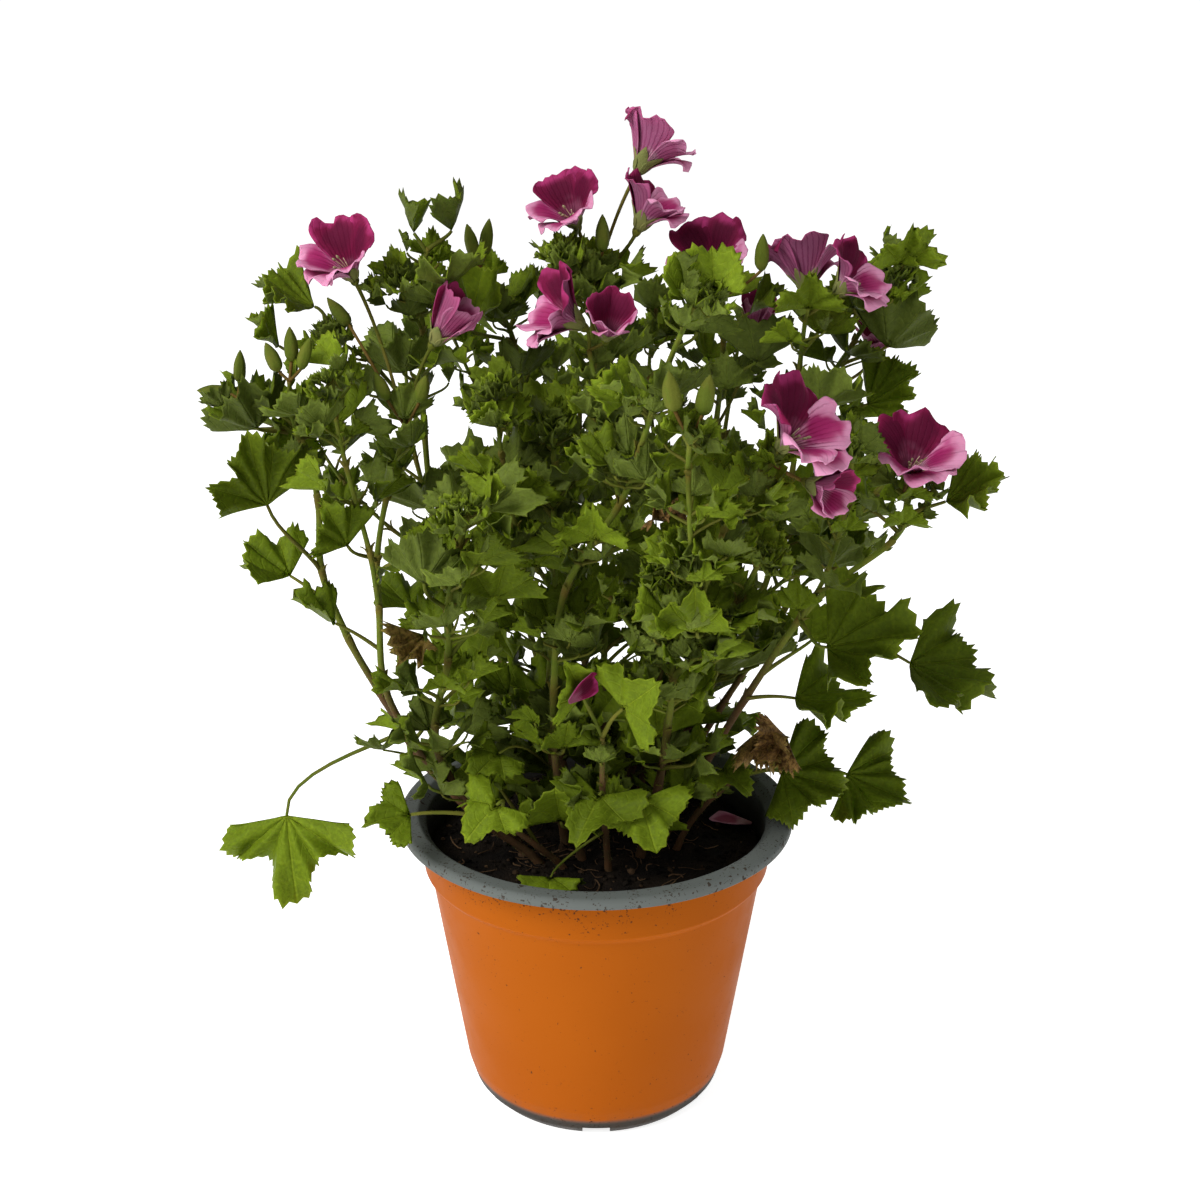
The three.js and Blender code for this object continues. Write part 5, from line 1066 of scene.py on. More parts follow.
def pot_profile(width):
    """Radius and height round the wall of the pot, from the middle of its underside, up the outside, over
    the rim and down inside."""
    outer = lambda z: WALL_BOTTOM_RADIUS + SLOPE * (z - CORNER_HEIGHT)
    step = outer(SHOULDER_HEIGHT) + SHOULDER_STEP
    under = POT_HEIGHT - RIM_THICKNESS
    return [
        (0, 0), (12, 0), (BASE_RADIUS, 0), (BASE_RADIUS + 3.4, 3.6), (WALL_BOTTOM_RADIUS, CORNER_HEIGHT),
        (outer(30), 30), (outer(31), 31), (outer(56), 56), (outer(SHOULDER_HEIGHT - 2), SHOULDER_HEIGHT - 2),
        (step, SHOULDER_HEIGHT), (WALL_TOP_RADIUS, under), (RIM_RADIUS - RIM_THICKNESS, under - 0.4),
        (RIM_RADIUS - RIM_THICKNESS + 0.2, POT_HEIGHT - LIP_DROP), (RIM_RADIUS, POT_HEIGHT - LIP_DROP),
        (RIM_RADIUS, POT_HEIGHT - 1), (RIM_RADIUS - 1, POT_HEIGHT), (RIM_INNER_RADIUS, POT_HEIGHT),
        (WALL_TOP_RADIUS - width, POT_HEIGHT - 3), (step - width, SHOULDER_HEIGHT - 0.4),
        (outer(SHOULDER_HEIGHT - 2) - width, SHOULDER_HEIGHT - 2.6),
        (WALL_BOTTOM_RADIUS - width, CORNER_HEIGHT), (BASE_RADIUS - 1, width + 1), (0, width + 1),
    ]


def slot_cutter():
    """Boxes that cut the drain slots through the foot of the wall, spaced evenly round it."""
    skin = Skin()
    signs = np.array([(a, b, c) for a in (-1, 1) for b in (-1, 1) for c in (-1, 1)])
    for i in range(SLOT_COUNT):
        angle = (i + 0.5) / SLOT_COUNT * 2 * math.pi
        out = vec(math.cos(angle), math.sin(angle), 0)
        side = vec(-math.sin(angle), math.cos(angle), 0)
        centre = out * (BASE_RADIUS + 4)
        points = centre + out * signs[:, :1] * 7 + side * signs[:, 1:2] * SLOT_WIDTH / 2
        points = points + UP * signs[:, 2:] * SLOT_HEIGHT
        faces = np.array(((0, 1, 3), (0, 3, 2), (4, 6, 7), (4, 7, 5), (0, 4, 5), (0, 5, 1),
                          (2, 3, 7), (2, 7, 6), (0, 2, 6), (0, 6, 4), (1, 5, 7), (1, 7, 3)))
        skin.add(points, faces, (0, 0))
    mesh = bpy.data.meshes.new("slots")
    mesh.from_pydata((np.concatenate(skin.points) * MM).tolist(), [], np.concatenate(skin.faces).tolist())
    cutter = bpy.data.objects.new("slots", mesh)
    bpy.context.scene.collection.objects.link(cutter)
    return cutter


def soil_height(x, y, lump):
    """The height of the soil: smooth noise in three sizes, the largest as wide as a finger."""
    large = 0.7 * lumps(x / 13 + 20, y / 13 + 20, 1)
    medium = 0.45 * lumps(x / 5 + 20, y / 5 + 20, 2)
    small = 0.3 * lumps(x / 2 + 30, y / 2 + 30, 3)
    return SOIL_LEVEL + lump * (large + medium + small)


ICO = (1 + 5**0.5) / 2
ICO_POINTS = unit(np.array([(-1, ICO, 0), (1, ICO, 0), (-1, -ICO, 0), (1, -ICO, 0), (0, -1, ICO),
                            (0, 1, ICO), (0, -1, -ICO), (0, 1, -ICO), (ICO, 0, -1), (ICO, 0, 1),
                            (-ICO, 0, -1), (-ICO, 0, 1)]))
ICO_FACES = np.array([(0, 11, 5), (0, 5, 1), (0, 1, 7), (0, 7, 10), (0, 10, 11), (1, 5, 9), (5, 11, 4),
                      (11, 10, 2), (10, 7, 6), (7, 1, 8), (3, 9, 4), (3, 4, 2), (3, 2, 6), (3, 6, 8),
                      (3, 8, 9), (4, 9, 5), (2, 4, 11), (6, 2, 10), (8, 6, 7), (9, 8, 1)])


def crumbs(skin, centres, sizes, rng, **values):
    """Crumbs: twenty-sided balls with each corner moved in or out, and squeezed a little."""
    n = len(centres)
    wobble = rng.uniform(0.6, 1.25, (n, 12, 1))
    squeeze = np.stack([rng.uniform(low, high, n) for low, high in ((0.6, 1.4), (0.6, 1.4), (0.5, 0.9))], -1)
    points = centres[:, None] + ICO_POINTS * (wobble * squeeze[:, None]) * sizes[:, None, None]
    faces = (ICO_FACES[None] + 12 * np.arange(n)[:, None, None]).reshape(-1, 3)
    skin.add(points.reshape(-1, 3), faces, (0, 0), **{k: np.repeat(v, 12) for k, v in values.items()})


# ---- materials -------------------------------------------------------------------------------

class Wires:
    """Short ways to add nodes to a tree."""

    def __init__(self, tree):
        self.tree = tree

    def node(self, kind, **settings):
        node = self.tree.nodes.new(kind)
        for key, value in settings.items():
            setattr(node, key, value)
        return node

    def put(self, socket, value):
        if isinstance(value, bpy.types.NodeSocket):
            self.tree.links.new(value, socket)
        elif value is not None:
            socket.default_value = value

    def math(self, operation, a, b=None, c=None, clamp=False):
        node = self.node("ShaderNodeMath", operation=operation, use_clamp=clamp)
        for socket, value in zip(node.inputs, (a, b, c)):
            self.put(socket, value)
        return node.outputs[0]

    def plus(self, a, b, clamp=False):
        return self.math("ADD", a, b, clamp=clamp)

    def minus(self, a, b):
        return self.math("SUBTRACT", a, b)

    def times(self, a, b):
        return self.math("MULTIPLY", a, b)

    def step(self, value, low, high, out_low=0.0, out_high=1.0):
        node = self.node("ShaderNodeMapRange", interpolation_type="SMOOTHSTEP")
        for name, x in (("Value", value), ("From Min", low), ("From Max", high),
                        ("To Min", out_low), ("To Max", out_high)):
            self.put(node.inputs[name], x)
        return node.outputs[0]

    def mix(self, factor, a, b, blend="MIX"):
        node = self.node("ShaderNodeMix", data_type="RGBA", blend_type=blend)
        for socket, x in ((node.inputs[0], factor), (node.inputs[6], a), (node.inputs[7], b)):
            self.put(socket, (*x, 1.0) if isinstance(x, tuple) and len(x) == 3 else x)
        return node.outputs[2]

    def tinted(self, colour, by):
        return self.mix(1.0, colour, by, "MULTIPLY")

    def shade(self, value):
        node = self.node("ShaderNodeCombineColor")
        for socket in node.inputs:
            self.put(socket, value)
        return node.outputs[0]

    def noise(self, vector, scale, detail=3.0, rough=0.55):
        node = self.node("ShaderNodeTexNoise")
        for name, x in (("Vector", vector), ("Scale", scale), ("Detail", detail), ("Roughness", rough)):
            self.put(node.inputs[name], x)
        return node.outputs["Fac"]

    def value(self, name):
        return self.node("ShaderNodeAttribute", attribute_name=name).outputs["Fac"]

    def split(self, vector):
        node = self.node("ShaderNodeSeparateXYZ")
        self.put(node.inputs[0], vector)
        return node.outputs

    def place(self):
        return self.node("ShaderNodeTexCoord").outputs["Object"]

    def uv(self):
        return self.split(self.node("ShaderNodeUVMap", uv_map="flow").outputs[0])

    def group(self, tree, **values):
        node = self.node("ShaderNodeGroup")
        node.node_tree = tree
        for name, x in values.items():
            self.put(node.inputs[name.replace("_", " ").capitalize()], x)
        return node.outputs


def new_group(name, inputs, outputs):
    """An empty node group with its sockets, and ways to wire it."""
    tree = bpy.data.node_groups.new(name, "ShaderNodeTree")
    for way, sockets in (("INPUT", inputs), ("OUTPUT", outputs)):
        for label, kind, value in sockets:
            socket = tree.interface.new_socket(label, in_out=way, socket_type="NodeSocket" + kind)
            if value is not None:
                socket.default_value = value
    wires = Wires(tree)
    return tree, wires, wires.node("NodeGroupInput").outputs, wires.node("NodeGroupOutput").inputs


def material(name, rough, **constants):
    made = bpy.data.materials.new(name)
    made.use_nodes = True
    shader = made.node_tree.nodes["Principled BSDF"]
    shader.inputs["Roughness"].default_value = rough
    for key, value in constants.items():
        shader.inputs[key.replace("_", " ").title().replace("Ior", "IOR")].default_value = value
    return made, Wires(made.node_tree), shader.inputs


def bumped(wires, inputs, height, distance, strength=1.0):
    bump = wires.node("ShaderNodeBump")
    bump.inputs["Strength"].default_value = strength
    bump.inputs["Distance"].default_value = distance
    wires.put(bump.inputs["Height"], height)
    wires.put(inputs["Normal"], bump.outputs[0])


GROUPS = {}


def shared(name, inputs, outputs):
    """Makes a node group of the function below, built the first time a material asks for it."""
    def wrap(fill):
        def group():
            if name not in GROUPS:
                GROUPS[name], w, given, out = new_group(name, inputs, outputs)
                fill(w, given, out)
            return GROUPS[name]
        return group
    return wrap


@shared("veins", [("Across", "Float", 0.0), ("Along", "Float", 0.0), ("Width", "Float", 0.06),
                  ("Slant", "Float", 2.2), ("Pairs", "Float", 5.0)],
        [("Main", "Float", None), ("Side", "Float", None)])
def veins_group(w, given, out):
    """Veins of a leaf or petal: a main vein at every whole number across, thinner towards the rim, and side
    veins that leave it slantwise."""
    off = w.math("ABSOLUTE", w.minus(given["Across"], w.math("ROUND", given["Across"])))
    near = w.times(off, given["Along"])
    w.put(out["Main"], w.step(near, given["Width"], 0.0))
    slanted = w.minus(w.times(given["Along"], given["Pairs"]), w.times(near, given["Slant"]))
    wave = w.math("ABSOLUTE", w.minus(w.math("FRACT", slanted), 0.5))
    w.put(out["Side"], w.step(wave, 0.14, 0.0))


@shared("mottle", [("Place", "Vector", None), ("Scale", "Float", 60.0)],
        [("Tone", "Float", None), ("Fine", "Float", None)])
def mottle_group(w, given, out):
    """Uneven colour: noise in two sizes, spread about a half."""
    w.put(out["Tone"], w.step(w.noise(given["Place"], given["Scale"], 2.0), 0.3, 0.7))
    w.put(out["Fine"], w.noise(given["Place"], w.times(given["Scale"], 9.0), 3.0, 0.65))


@shared("specks", [("Place", "Vector", None), ("Scale", "Float", 400.0), ("Amount", "Float", 0.3)],
        [("Mask", "Float", None)])
def specks_group(w, given, out):
    """Dirt: small spots where a fine noise rises over a level that a coarse noise lifts and lowers."""
    fine = w.noise(given["Place"], given["Scale"], 2.0, 0.5)
    coarse = w.noise(given["Place"], w.times(given["Scale"], 0.12), 2.0, 0.6)
    level = w.minus(0.86, w.times(w.times(coarse, given["Amount"]), 0.8))
    w.put(out["Mask"], w.step(w.minus(fine, level), 0.0, 0.03))


def leaf_material(props):
    made, w, inputs = material("leaf", 0.55, specular_ior_level=0.06, subsurface_weight=0.12)
    inputs["Subsurface Radius"].default_value = (0.5, 0.7, 0.1)
    inputs["Subsurface Scale"].default_value = 0.0015
    x, r, _ = w.uv()
    mottle = w.group(mottle_group(), place=w.place(), scale=90.0)
    veins = w.group(veins_group(), across=x, along=r, width=0.035)
    age = w.plus(w.value("age"), w.step(mottle["Tone"], 0.0, 1.0, -0.15, 0.15), clamp=True)
    green = w.mix(w.step(age, 0.15, 0.8), tuple(props.young), tuple(props.old))
    vein = w.plus(w.times(veins["Main"], 0.55), w.times(veins["Side"], 0.2), clamp=True)
    light = w.tinted(green, (1.75, 1.6, 1.9))
    green = w.mix(vein, green, light)
    green = w.mix(w.step(r, 0.93, 1.0, 0.0, 0.55), green, light)
    heart = w.times(w.step(r, 0.3, 0.0), 0.4)
    green = w.mix(heart, green, light)
    below = w.mix(0.75, green, tuple(props.under))
    green = w.mix(w.value("under"), green, below)
    green = w.tinted(green, w.shade(w.step(w.value("tint"), -1.0, 1.0, 0.72, 1.3)))
    green = w.tinted(green, w.shade(w.step(mottle["Fine"], 0.25, 0.75, 0.82, 1.18)))
    dry = w.mix(w.step(mottle["Fine"], 0.35, 0.65), (0.07, 0.035, 0.012), (0.24, 0.14, 0.045))
    green = w.mix(w.value("dry"), green, dry)
    w.put(inputs["Base Color"], green)
    w.put(inputs["Roughness"], w.step(mottle["Fine"], 0.2, 0.8, 0.45, 0.65))
    relief = w.minus(w.times(mottle["Fine"], 0.5), vein)
    bumped(w, inputs, relief, 0.0005, 0.9)
    return made


def stem_material(props):
    made, w, inputs = material("stem", 0.65, specular_ior_level=0.06)
    mottle = w.group(mottle_group(), place=w.place(), scale=220.0)
    bark = w.mix(mottle["Tone"], (0.11, 0.055, 0.025), tuple(props.bark))
    colour = w.mix(w.step(mottle["Tone"], 0.2, 0.9, 0.0, 0.4), tuple(props.green), (0.16, 0.15, 0.025))
    colour = w.mix(w.value("red"), colour, (0.15, 0.045, 0.02))
    colour = w.mix(w.step(w.plus(w.value("wood"), w.step(mottle["Fine"], 0.3, 0.7, -0.15, 0.15)), 0.25, 0.8),
                   colour, bark)
    colour = w.mix(w.value("pale"), colour, (0.75, 0.6, 0.42))
    colour = w.tinted(colour, w.shade(w.step(w.value("tint"), -1.0, 1.0, 0.8, 1.2)))
    w.put(inputs["Base Color"], colour)
    bumped(w, inputs, mottle["Fine"], 0.0004, 0.6)
    return made


def hair_material(props):
    made, w, inputs = material("hair", 0.8, specular_ior_level=0.05)
    tone = w.noise(w.place(), 300.0, 1.0)
    w.put(inputs["Base Color"], w.mix(tone, tuple(props.hair), (0.24, 0.27, 0.1)))
    return made


def petal_material(name, props, dark):
    """Petals: a gradient from the throat over the blade to the rim, veins that fan out and a blotch."""
    made, w, inputs = material(name, 0.65, specular_ior_level=0.06, subsurface_weight=0.12)
    inputs["Subsurface Radius"].default_value = (0.8, 0.3, 0.4)
    inputs["Subsurface Scale"].default_value = 0.0012
    across, along, _ = w.uv()
    mottle = w.group(mottle_group(), place=w.place(), scale=130.0)
    bend = w.times(w.minus(mottle["Fine"], 0.5), 0.5)
    veins = w.group(veins_group(), across=w.math("MULTIPLY_ADD", across, 5.0, bend), along=along, width=0.13,
                    slant=2.0, pairs=3.0)
    lines = w.times(veins["Main"], w.step(along, 0.9, 0.35))
    wobble = w.step(mottle["Tone"], 0.0, 1.0, -0.1, 0.1)
    edge = w.math("MAXIMUM", w.plus(along, wobble), w.plus(w.math("ABSOLUTE", across), w.times(wobble, 1.5)))
    core = w.plus(w.math("POWER", w.math("ABSOLUTE", w.times(w.minus(along, 0.6), 3.3)), 2.0),
                  w.math("POWER", w.math("ABSOLUTE", w.times(across, 1.45)), 2.0))
    blotch = w.step(w.plus(core, w.times(wobble, 2.0)), 1.2, 0.3)
    throat = w.step(w.plus(along, wobble), 0.42, 0.12)
    if dark:
        colour = w.mix(w.step(edge, 0.8, 1.03), tuple(props.dark), tuple(props.dark_rim))
        colour = w.mix(w.times(blotch, 0.8), colour, (0.045, 0.001, 0.011))
        colour = w.mix(w.times(throat, 0.5), colour, (0.4, 0.15, 0.24))
        colour = w.mix(w.times(lines, 0.5), colour, (0.05, 0.001, 0.012))
    else:
        colour = w.mix(w.step(edge, 0.55, 0.95), tuple(props.pink), tuple(props.pink_rim))
        colour = w.mix(w.times(blotch, 0.85), colour, tuple(props.blotch))
        colour = w.mix(w.times(throat, 0.85), colour, (0.75, 0.5, 0.58))
        colour = w.mix(w.times(lines, 0.75), colour, (0.19, 0.004, 0.055))
    back = w.mix(0.6, colour, (0.38, 0.13, 0.25))
    back = w.mix(w.times(throat, 0.6), back, (0.62, 0.42, 0.48))
    back = w.mix(w.times(veins["Main"], 0.55), back, (0.13, 0.01, 0.06))
    colour = w.mix(w.value("under"), colour, back)
    colour = w.mix(w.times(w.value("folded"), 0.3), colour, (0.36, 0.04, 0.13))
    colour = w.tinted(colour, w.shade(w.step(w.value("tint"), -1.0, 1.0, 0.8, 1.2)))
    colour = w.mix(w.value("dry"), colour, (0.5, 0.38, 0.28))
    w.put(inputs["Base Color"], colour)
    relief = w.plus(w.times(veins["Main"], -0.6), w.times(mottle["Fine"], 0.4))
    bumped(w, inputs, relief, 0.0003, 0.6)
    return made


def pot_material(props):
    """Plastic: orange outside, grey from the lip up and inside, with dirt that gathers under the rim, on the
    step and at the foot, and painted shade that darkens the inner wall from just under the rim down to the
    soil."""
    made, w, inputs = material("pot_plastic", 0.5, ior=1.2, specular_ior_level=0.1)
    place = w.place()
    x, y, z = w.split(place)
    radius = w.math("SQRT", w.plus(w.times(x, x), w.times(y, y)))
    wall = w.plus(w.times(w.minus(z, CORNER_HEIGHT * MM), SLOPE), WALL_BOTTOM_RADIUS * MM)
    wall = w.plus(wall, w.step(z, 0.0799, 0.0818, 0.0, SHOULDER_STEP * MM))
    wall = w.math("MINIMUM", wall, WALL_TOP_RADIUS * MM)
    inner = w.step(w.minus(radius, wall), -0.0004, -0.0008)
    high = w.step(z, 0.0963, 0.0965)
    grey = w.math("MAXIMUM", high, inner)
    mottle = w.group(mottle_group(), place=place, scale=14.0)
    orange = w.mix(mottle["Tone"], tuple(props.outside), w.tinted(tuple(props.outside), (0.93, 0.9, 0.8)))
    greys = w.mix(mottle["Tone"], tuple(props.rim), w.tinted(tuple(props.rim), (0.8, 0.79, 0.77)))
    colour = w.mix(grey, orange, greys)
    smears = w.noise(place, 55.0, 4.0, 0.7)
    colour = w.mix(w.times(w.times(w.step(smears, 0.55, 0.8), grey), 0.3), colour, (0.09, 0.075, 0.06))
    near_rim = w.step(z, 0.08, 0.096)
    near_foot = w.step(z, 0.016, 0.002)
    amount = w.plus(w.times(w.plus(near_rim, near_foot), 0.25), 0.2 + props.dirt)
    large = w.group(specks_group(), place=place, scale=420.0, amount=amount)
    small = w.group(specks_group(), place=place, scale=1300.0, amount=w.plus(amount, 0.1))
    dirt = w.math("MAXIMUM", large["Mask"], small["Mask"])
    colour = w.mix(w.times(dirt, 0.8), colour, (0.035, 0.02, 0.012))
    film = w.times(w.times(near_foot, w.step(mottle["Fine"], 0.35, 0.7)), 0.35)
    colour = w.mix(film, colour, (0.16, 0.07, 0.03))
    # Painted shade: the inner wall darkens to near black from just under the rim down to the soil
    deep = w.times(inner, w.step(z, 0.0975, 0.089))
    colour = w.mix(w.times(deep, 0.8), colour, (0.03, 0.024, 0.02))
    w.put(inputs["Base Color"], colour)
    w.put(inputs["Roughness"], w.plus(w.step(smears, 0.3, 0.7, 0.36, 0.5), w.times(dirt, 0.3)))
    bumped(w, inputs, w.plus(smears, w.times(dirt, 0.4)), 0.00015, 0.5)
    return made


def soil_material(props):
    made, w, inputs = material("peat", 0.9, specular_ior_level=0.1)
    mottle = w.group(mottle_group(), place=w.place(), scale=110.0)
    colour = w.mix(mottle["Tone"], tuple(props.peat), w.tinted(tuple(props.peat), (2.2, 1.9, 1.5)))
    colour = w.mix(w.step(mottle["Fine"], 0.62, 0.75, 0.0, 0.4), colour, (0.035, 0.024, 0.016))
    colour = w.mix(w.value("fibre"), colour, tuple(props.fibre))
    colour = w.tinted(colour, w.shade(w.step(w.value("tint"), -1.0, 1.0, 0.5, 1.7)))
    w.put(inputs["Base Color"], colour)
    bumped(w, inputs, mottle["Fine"], 0.001, 1.0)
    return made


# ---- what a user would change ----------------------------------------------------------------

def colour_prop(name, words, value):
    return FloatVectorProperty(name=name, description=words, subtype="COLOR", size=3, min=0, max=1,
                               default=value)


def number_prop(name, words, value, low, high, kind=FloatProperty, **more):
    return kind(name=name, description=words, default=value, min=low, max=high, **more)


class PELARGONIUM_PG_pot(bpy.types.PropertyGroup):
    outside: colour_prop("Outside", "Colour of the outside wall", (0.37, 0.087, 0.004))
    rim: colour_prop("Rim", "Colour of the rim and the inside", (0.125, 0.138, 0.13))
    dirt: number_prop("Dirt", "More or fewer specks of soil on the wall", 0.04, -0.3, 0.4)
    width: number_prop("Wall", "Thickness of the wall in millimetres", WALL, 0.8, 2.0)


class PELARGONIUM_PG_soil(bpy.types.PropertyGroup):
    peat: colour_prop("Peat", "Colour of the moist peat", (0.007, 0.0055, 0.0045))
    fibre: colour_prop("Fibres", "Colour of the fibres and bits of bark", (0.11, 0.065, 0.034))
    lump: number_prop("Lumps", "Height of the lumps in millimetres", 1.5, 0, 4)
    crumbs: number_prop("Crumbs", "How many crumbs lie on the soil", 1200, 0, 4000, IntProperty)


class PELARGONIUM_PG_leaves(bpy.types.PropertyGroup):
    young: colour_prop("Young", "Colour of a young leaf", (0.135, 0.188, 0.011))
    old: colour_prop("Old", "Colour of an old leaf", (0.095, 0.135, 0.006))
    under: colour_prop("Underside", "Colour that the underside tends to", (0.09, 0.115, 0.022))
    teeth: number_prop("Teeth", "Depth of the teeth as a share of the blade", 0.1, 0, 0.3)
    ripple: number_prop("Ripple", "How strongly the rim waves", 1.2, 0, 3)
    fullness: number_prop("Fullness", "Further leaves for each joint of a stem", 7.0, 0, 12)


class PELARGONIUM_PG_stems(bpy.types.PropertyGroup):
    green: colour_prop("Green", "Colour of a young stem", (0.1, 0.14, 0.014))
    bark: colour_prop("Bark", "Colour of the woody foot", (0.085, 0.052, 0.024))
    hair: colour_prop("Hairs", "Colour of the fine hairs", (0.18, 0.22, 0.06))


class PELARGONIUM_PG_petals(bpy.types.PropertyGroup):
    dark: colour_prop("Upper petals", "Colour of the two upper petals", (0.13, 0.004, 0.032))
    dark_rim: colour_prop("Upper rim", "Colour of their edge", (0.34, 0.03, 0.13))
    pink: colour_prop("Lower petals", "Colour of the three lower petals", (0.48, 0.09, 0.24))
    pink_rim: colour_prop("Lower rim", "Colour of their edge", (0.66, 0.29, 0.45))
    blotch: colour_prop("Blotch", "Colour of the blotch and the veins", (0.3, 0.008, 0.095))


class PELARGONIUM_PG_stage(bpy.types.PropertyGroup):
    floor: colour_prop("Floor", "Colour of the floor", (0.95, 0.95, 0.95))
    key: number_prop("Key light", "Power of the lamp from the left", 22.0, 0, 1000, subtype="POWER",
                     unit="POWER")
    around: number_prop("Surroundings", "Strength of the light from all round", 0.34, 0, 3)


# ---- operators -------------------------------------------------------------------------------

class PELARGONIUM_OT_pot(bpy.types.Operator):
    """Builds the pot: a thin wall turned round the axis, with its drain slots cut through the foot"""
    bl_idname = "pelargonium.pot"
    bl_label = "Pot"

    def execute(self, context):
        props = context.scene.pelargonium_pot
        skin = Skin()
        lathe(skin, rounded(pot_profile(props.width)), 168)
        pot = skin.piece("pot_shell", pot_material(props), "pot_plastic", "pot")
        cutter = slot_cutter()
        cut = pot.modifiers.new("slots", "BOOLEAN")
        cut.operation, cut.solver, cut.object = "DIFFERENCE", "EXACT", cutter
        context.view_layer.update()
        whole = bpy.data.meshes.new_from_object(pot.evaluated_get(context.evaluated_depsgraph_get()))
        pot.modifiers.clear()
        pot.data = whole
        bpy.data.objects.remove(cutter)
        whole.set_sharp_from_angle(angle=math.radians(40))
        return {"FINISHED"}


FIBRES = 110


class PELARGONIUM_OT_soil(bpy.types.Operator):
    """Builds the soil: a lumpy bed that fills the pot, with crumbs and fibres on it"""
    bl_idname = "pelargonium.soil"
    bl_label = "Soil"

    def execute(self, context):
        props = context.scene.pelargonium_soil
        rng = np.random.default_rng(7)
        edge = WALL_TOP_RADIUS - SHOULDER_STEP - props_wall(context) - 0.35
        skin = Skin()
        foot = BASE_RADIUS - 4
        low = [(0, WALL + 1.4), (foot, WALL + 1.4), (WALL_BOTTOM_RADIUS - 2.4, CORNER_HEIGHT + 1),
               (edge - 1.2, 78)]
        radii = edge * np.linspace(1, 0, 46)[:-1] ** 0.8
        lathe(skin, low + [(r, SOIL_LEVEL) for r in radii] + [(0, SOIL_LEVEL)], 150, tint=0.0)
        points = skin.points[0]
        top = points[:, 2] > SOIL_LEVEL - 0.1
        points[top, 2] = soil_height(points[top, 0], points[top, 1], props.lump)
        n = props.crumbs
        angle, far = rng.uniform(0, 2 * math.pi, n), edge * np.sqrt(rng.uniform(0, 0.93, n))
        x, y = far * np.cos(angle), far * np.sin(angle)
        sizes = 0.35 + 1.1 * rng.uniform(0, 1, n) ** 3
        centres = np.stack([x, y, soil_height(x, y, props.lump) + sizes * 0.25], -1)
        crumbs(skin, centres, sizes, rng, tint=rng.uniform(-1, 1, n),
               fibre=0.7 * (rng.uniform(0, 1, n) > 0.9))
        for _ in range(FIBRES):
            turned, out = rng.uniform(0, 2 * math.pi), edge * math.sqrt(rng.uniform(0, 0.85))
            t = np.linspace(-0.5, 0.5, 7)[:, None]
            way = vec(math.cos(turned), math.sin(turned), 0)
            bend = np.cross(UP, way)
            centre = vec(out * math.cos(3 * turned), out * math.sin(3 * turned), 0)
            line = centre + way * t * rng.uniform(3, 11)
            line = line + bend * (t**2) * rng.uniform(-9, 9)
            line = line[np.hypot(line[:, 0], line[:, 1]) < edge - 0.5]
            if len(line) < 4:
                continue
            line[:, 2] = soil_height(line[:, 0], line[:, 1], props.lump) + rng.uniform(0.1, 1.1)
            tube(skin, line, np.full(len(line), rng.uniform(0.1, 0.28)), 4, tint=rng.uniform(-1, 1),
                 fibre=1.0)
        skin.piece("soil_bed", soil_material(props), "peat", "soil")
        return {"FINISHED"}


def props_wall(context):
    return context.scene.pelargonium_pot.width


class PELARGONIUM_OT_stems(bpy.types.Operator):
    """Builds the stems, shoots, leaf stalks, flower stalks with their calyxes, buds and stamens"""
    bl_idname = "pelargonium.stems"
    bl_label = "Stems and buds"

    def execute(self, context):
        props = context.scene.pelargonium_stems
        bark, fuzz = stem_material(props), hair_material(props)
        hairs = Skin()
        for i, (stem, branches) in enumerate(STEMS.items()):
            rng = np.random.default_rng(200 + i)
            skin = Skin()
            stem_lines(skin, hairs, branches, rng, stem in DARK_STEMS)
            for leaf in plan()[stem]:
                leaf_stalk(skin, hairs, leaf, rng)
            for flower in BLOOMS + BUDDING:
                if flower[1] == stem:
                    flower_stalk(skin, hairs, vec(flower[2]), vec(flower[3]), unit(vec(flower[4])), rng)
            for flower in BLOOMS:
                if flower[1] == stem:
                    stamens(skin, bloom_frame(flower), i)
            for owner, foot, base, tip, size in BUDS:
                if owner == stem:
                    bud(skin, hairs, vec(foot), vec(base), vec(tip), size, rng)
            skin.piece(f"{stem}_shoots", bark, "foliage", f"stem_{stem}")
        hairs.piece("stem_hairs", fuzz, "foliage", "stem_front_right")
        return {"FINISHED"}


class PELARGONIUM_OT_leaves(bpy.types.Operator):
    """Builds the leaf blades of every stem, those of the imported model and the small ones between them"""
    bl_idname = "pelargonium.leaves"
    bl_label = "Leaves"

    def execute(self, context):
        green = leaf_material(context.scene.pelargonium_leaves)
        for i, (stem, leaves) in enumerate(plan().items()):
            skin = Skin()
            for k, leaf in enumerate(leaves):
                blade(skin, leaf, 1000 * i + k)
            for j, (owner, foot, hub, tip, face, dry) in enumerate(WITHERED):
                if owner == stem:
                    ahead = vec(tip) - vec(hub)
                    leaf = leaf_of(vec(hub), ahead, vec(face), np.linalg.norm(ahead), 0.9, 1.2, 5,
                                   foot=vec(foot), age=0.6, crisp=4.5, dry=dry)
                    blade(skin, leaf, 90 + j)
            skin.piece(f"{stem}_blades", green, "foliage", f"stem_{stem}")
        return {"FINISHED"}


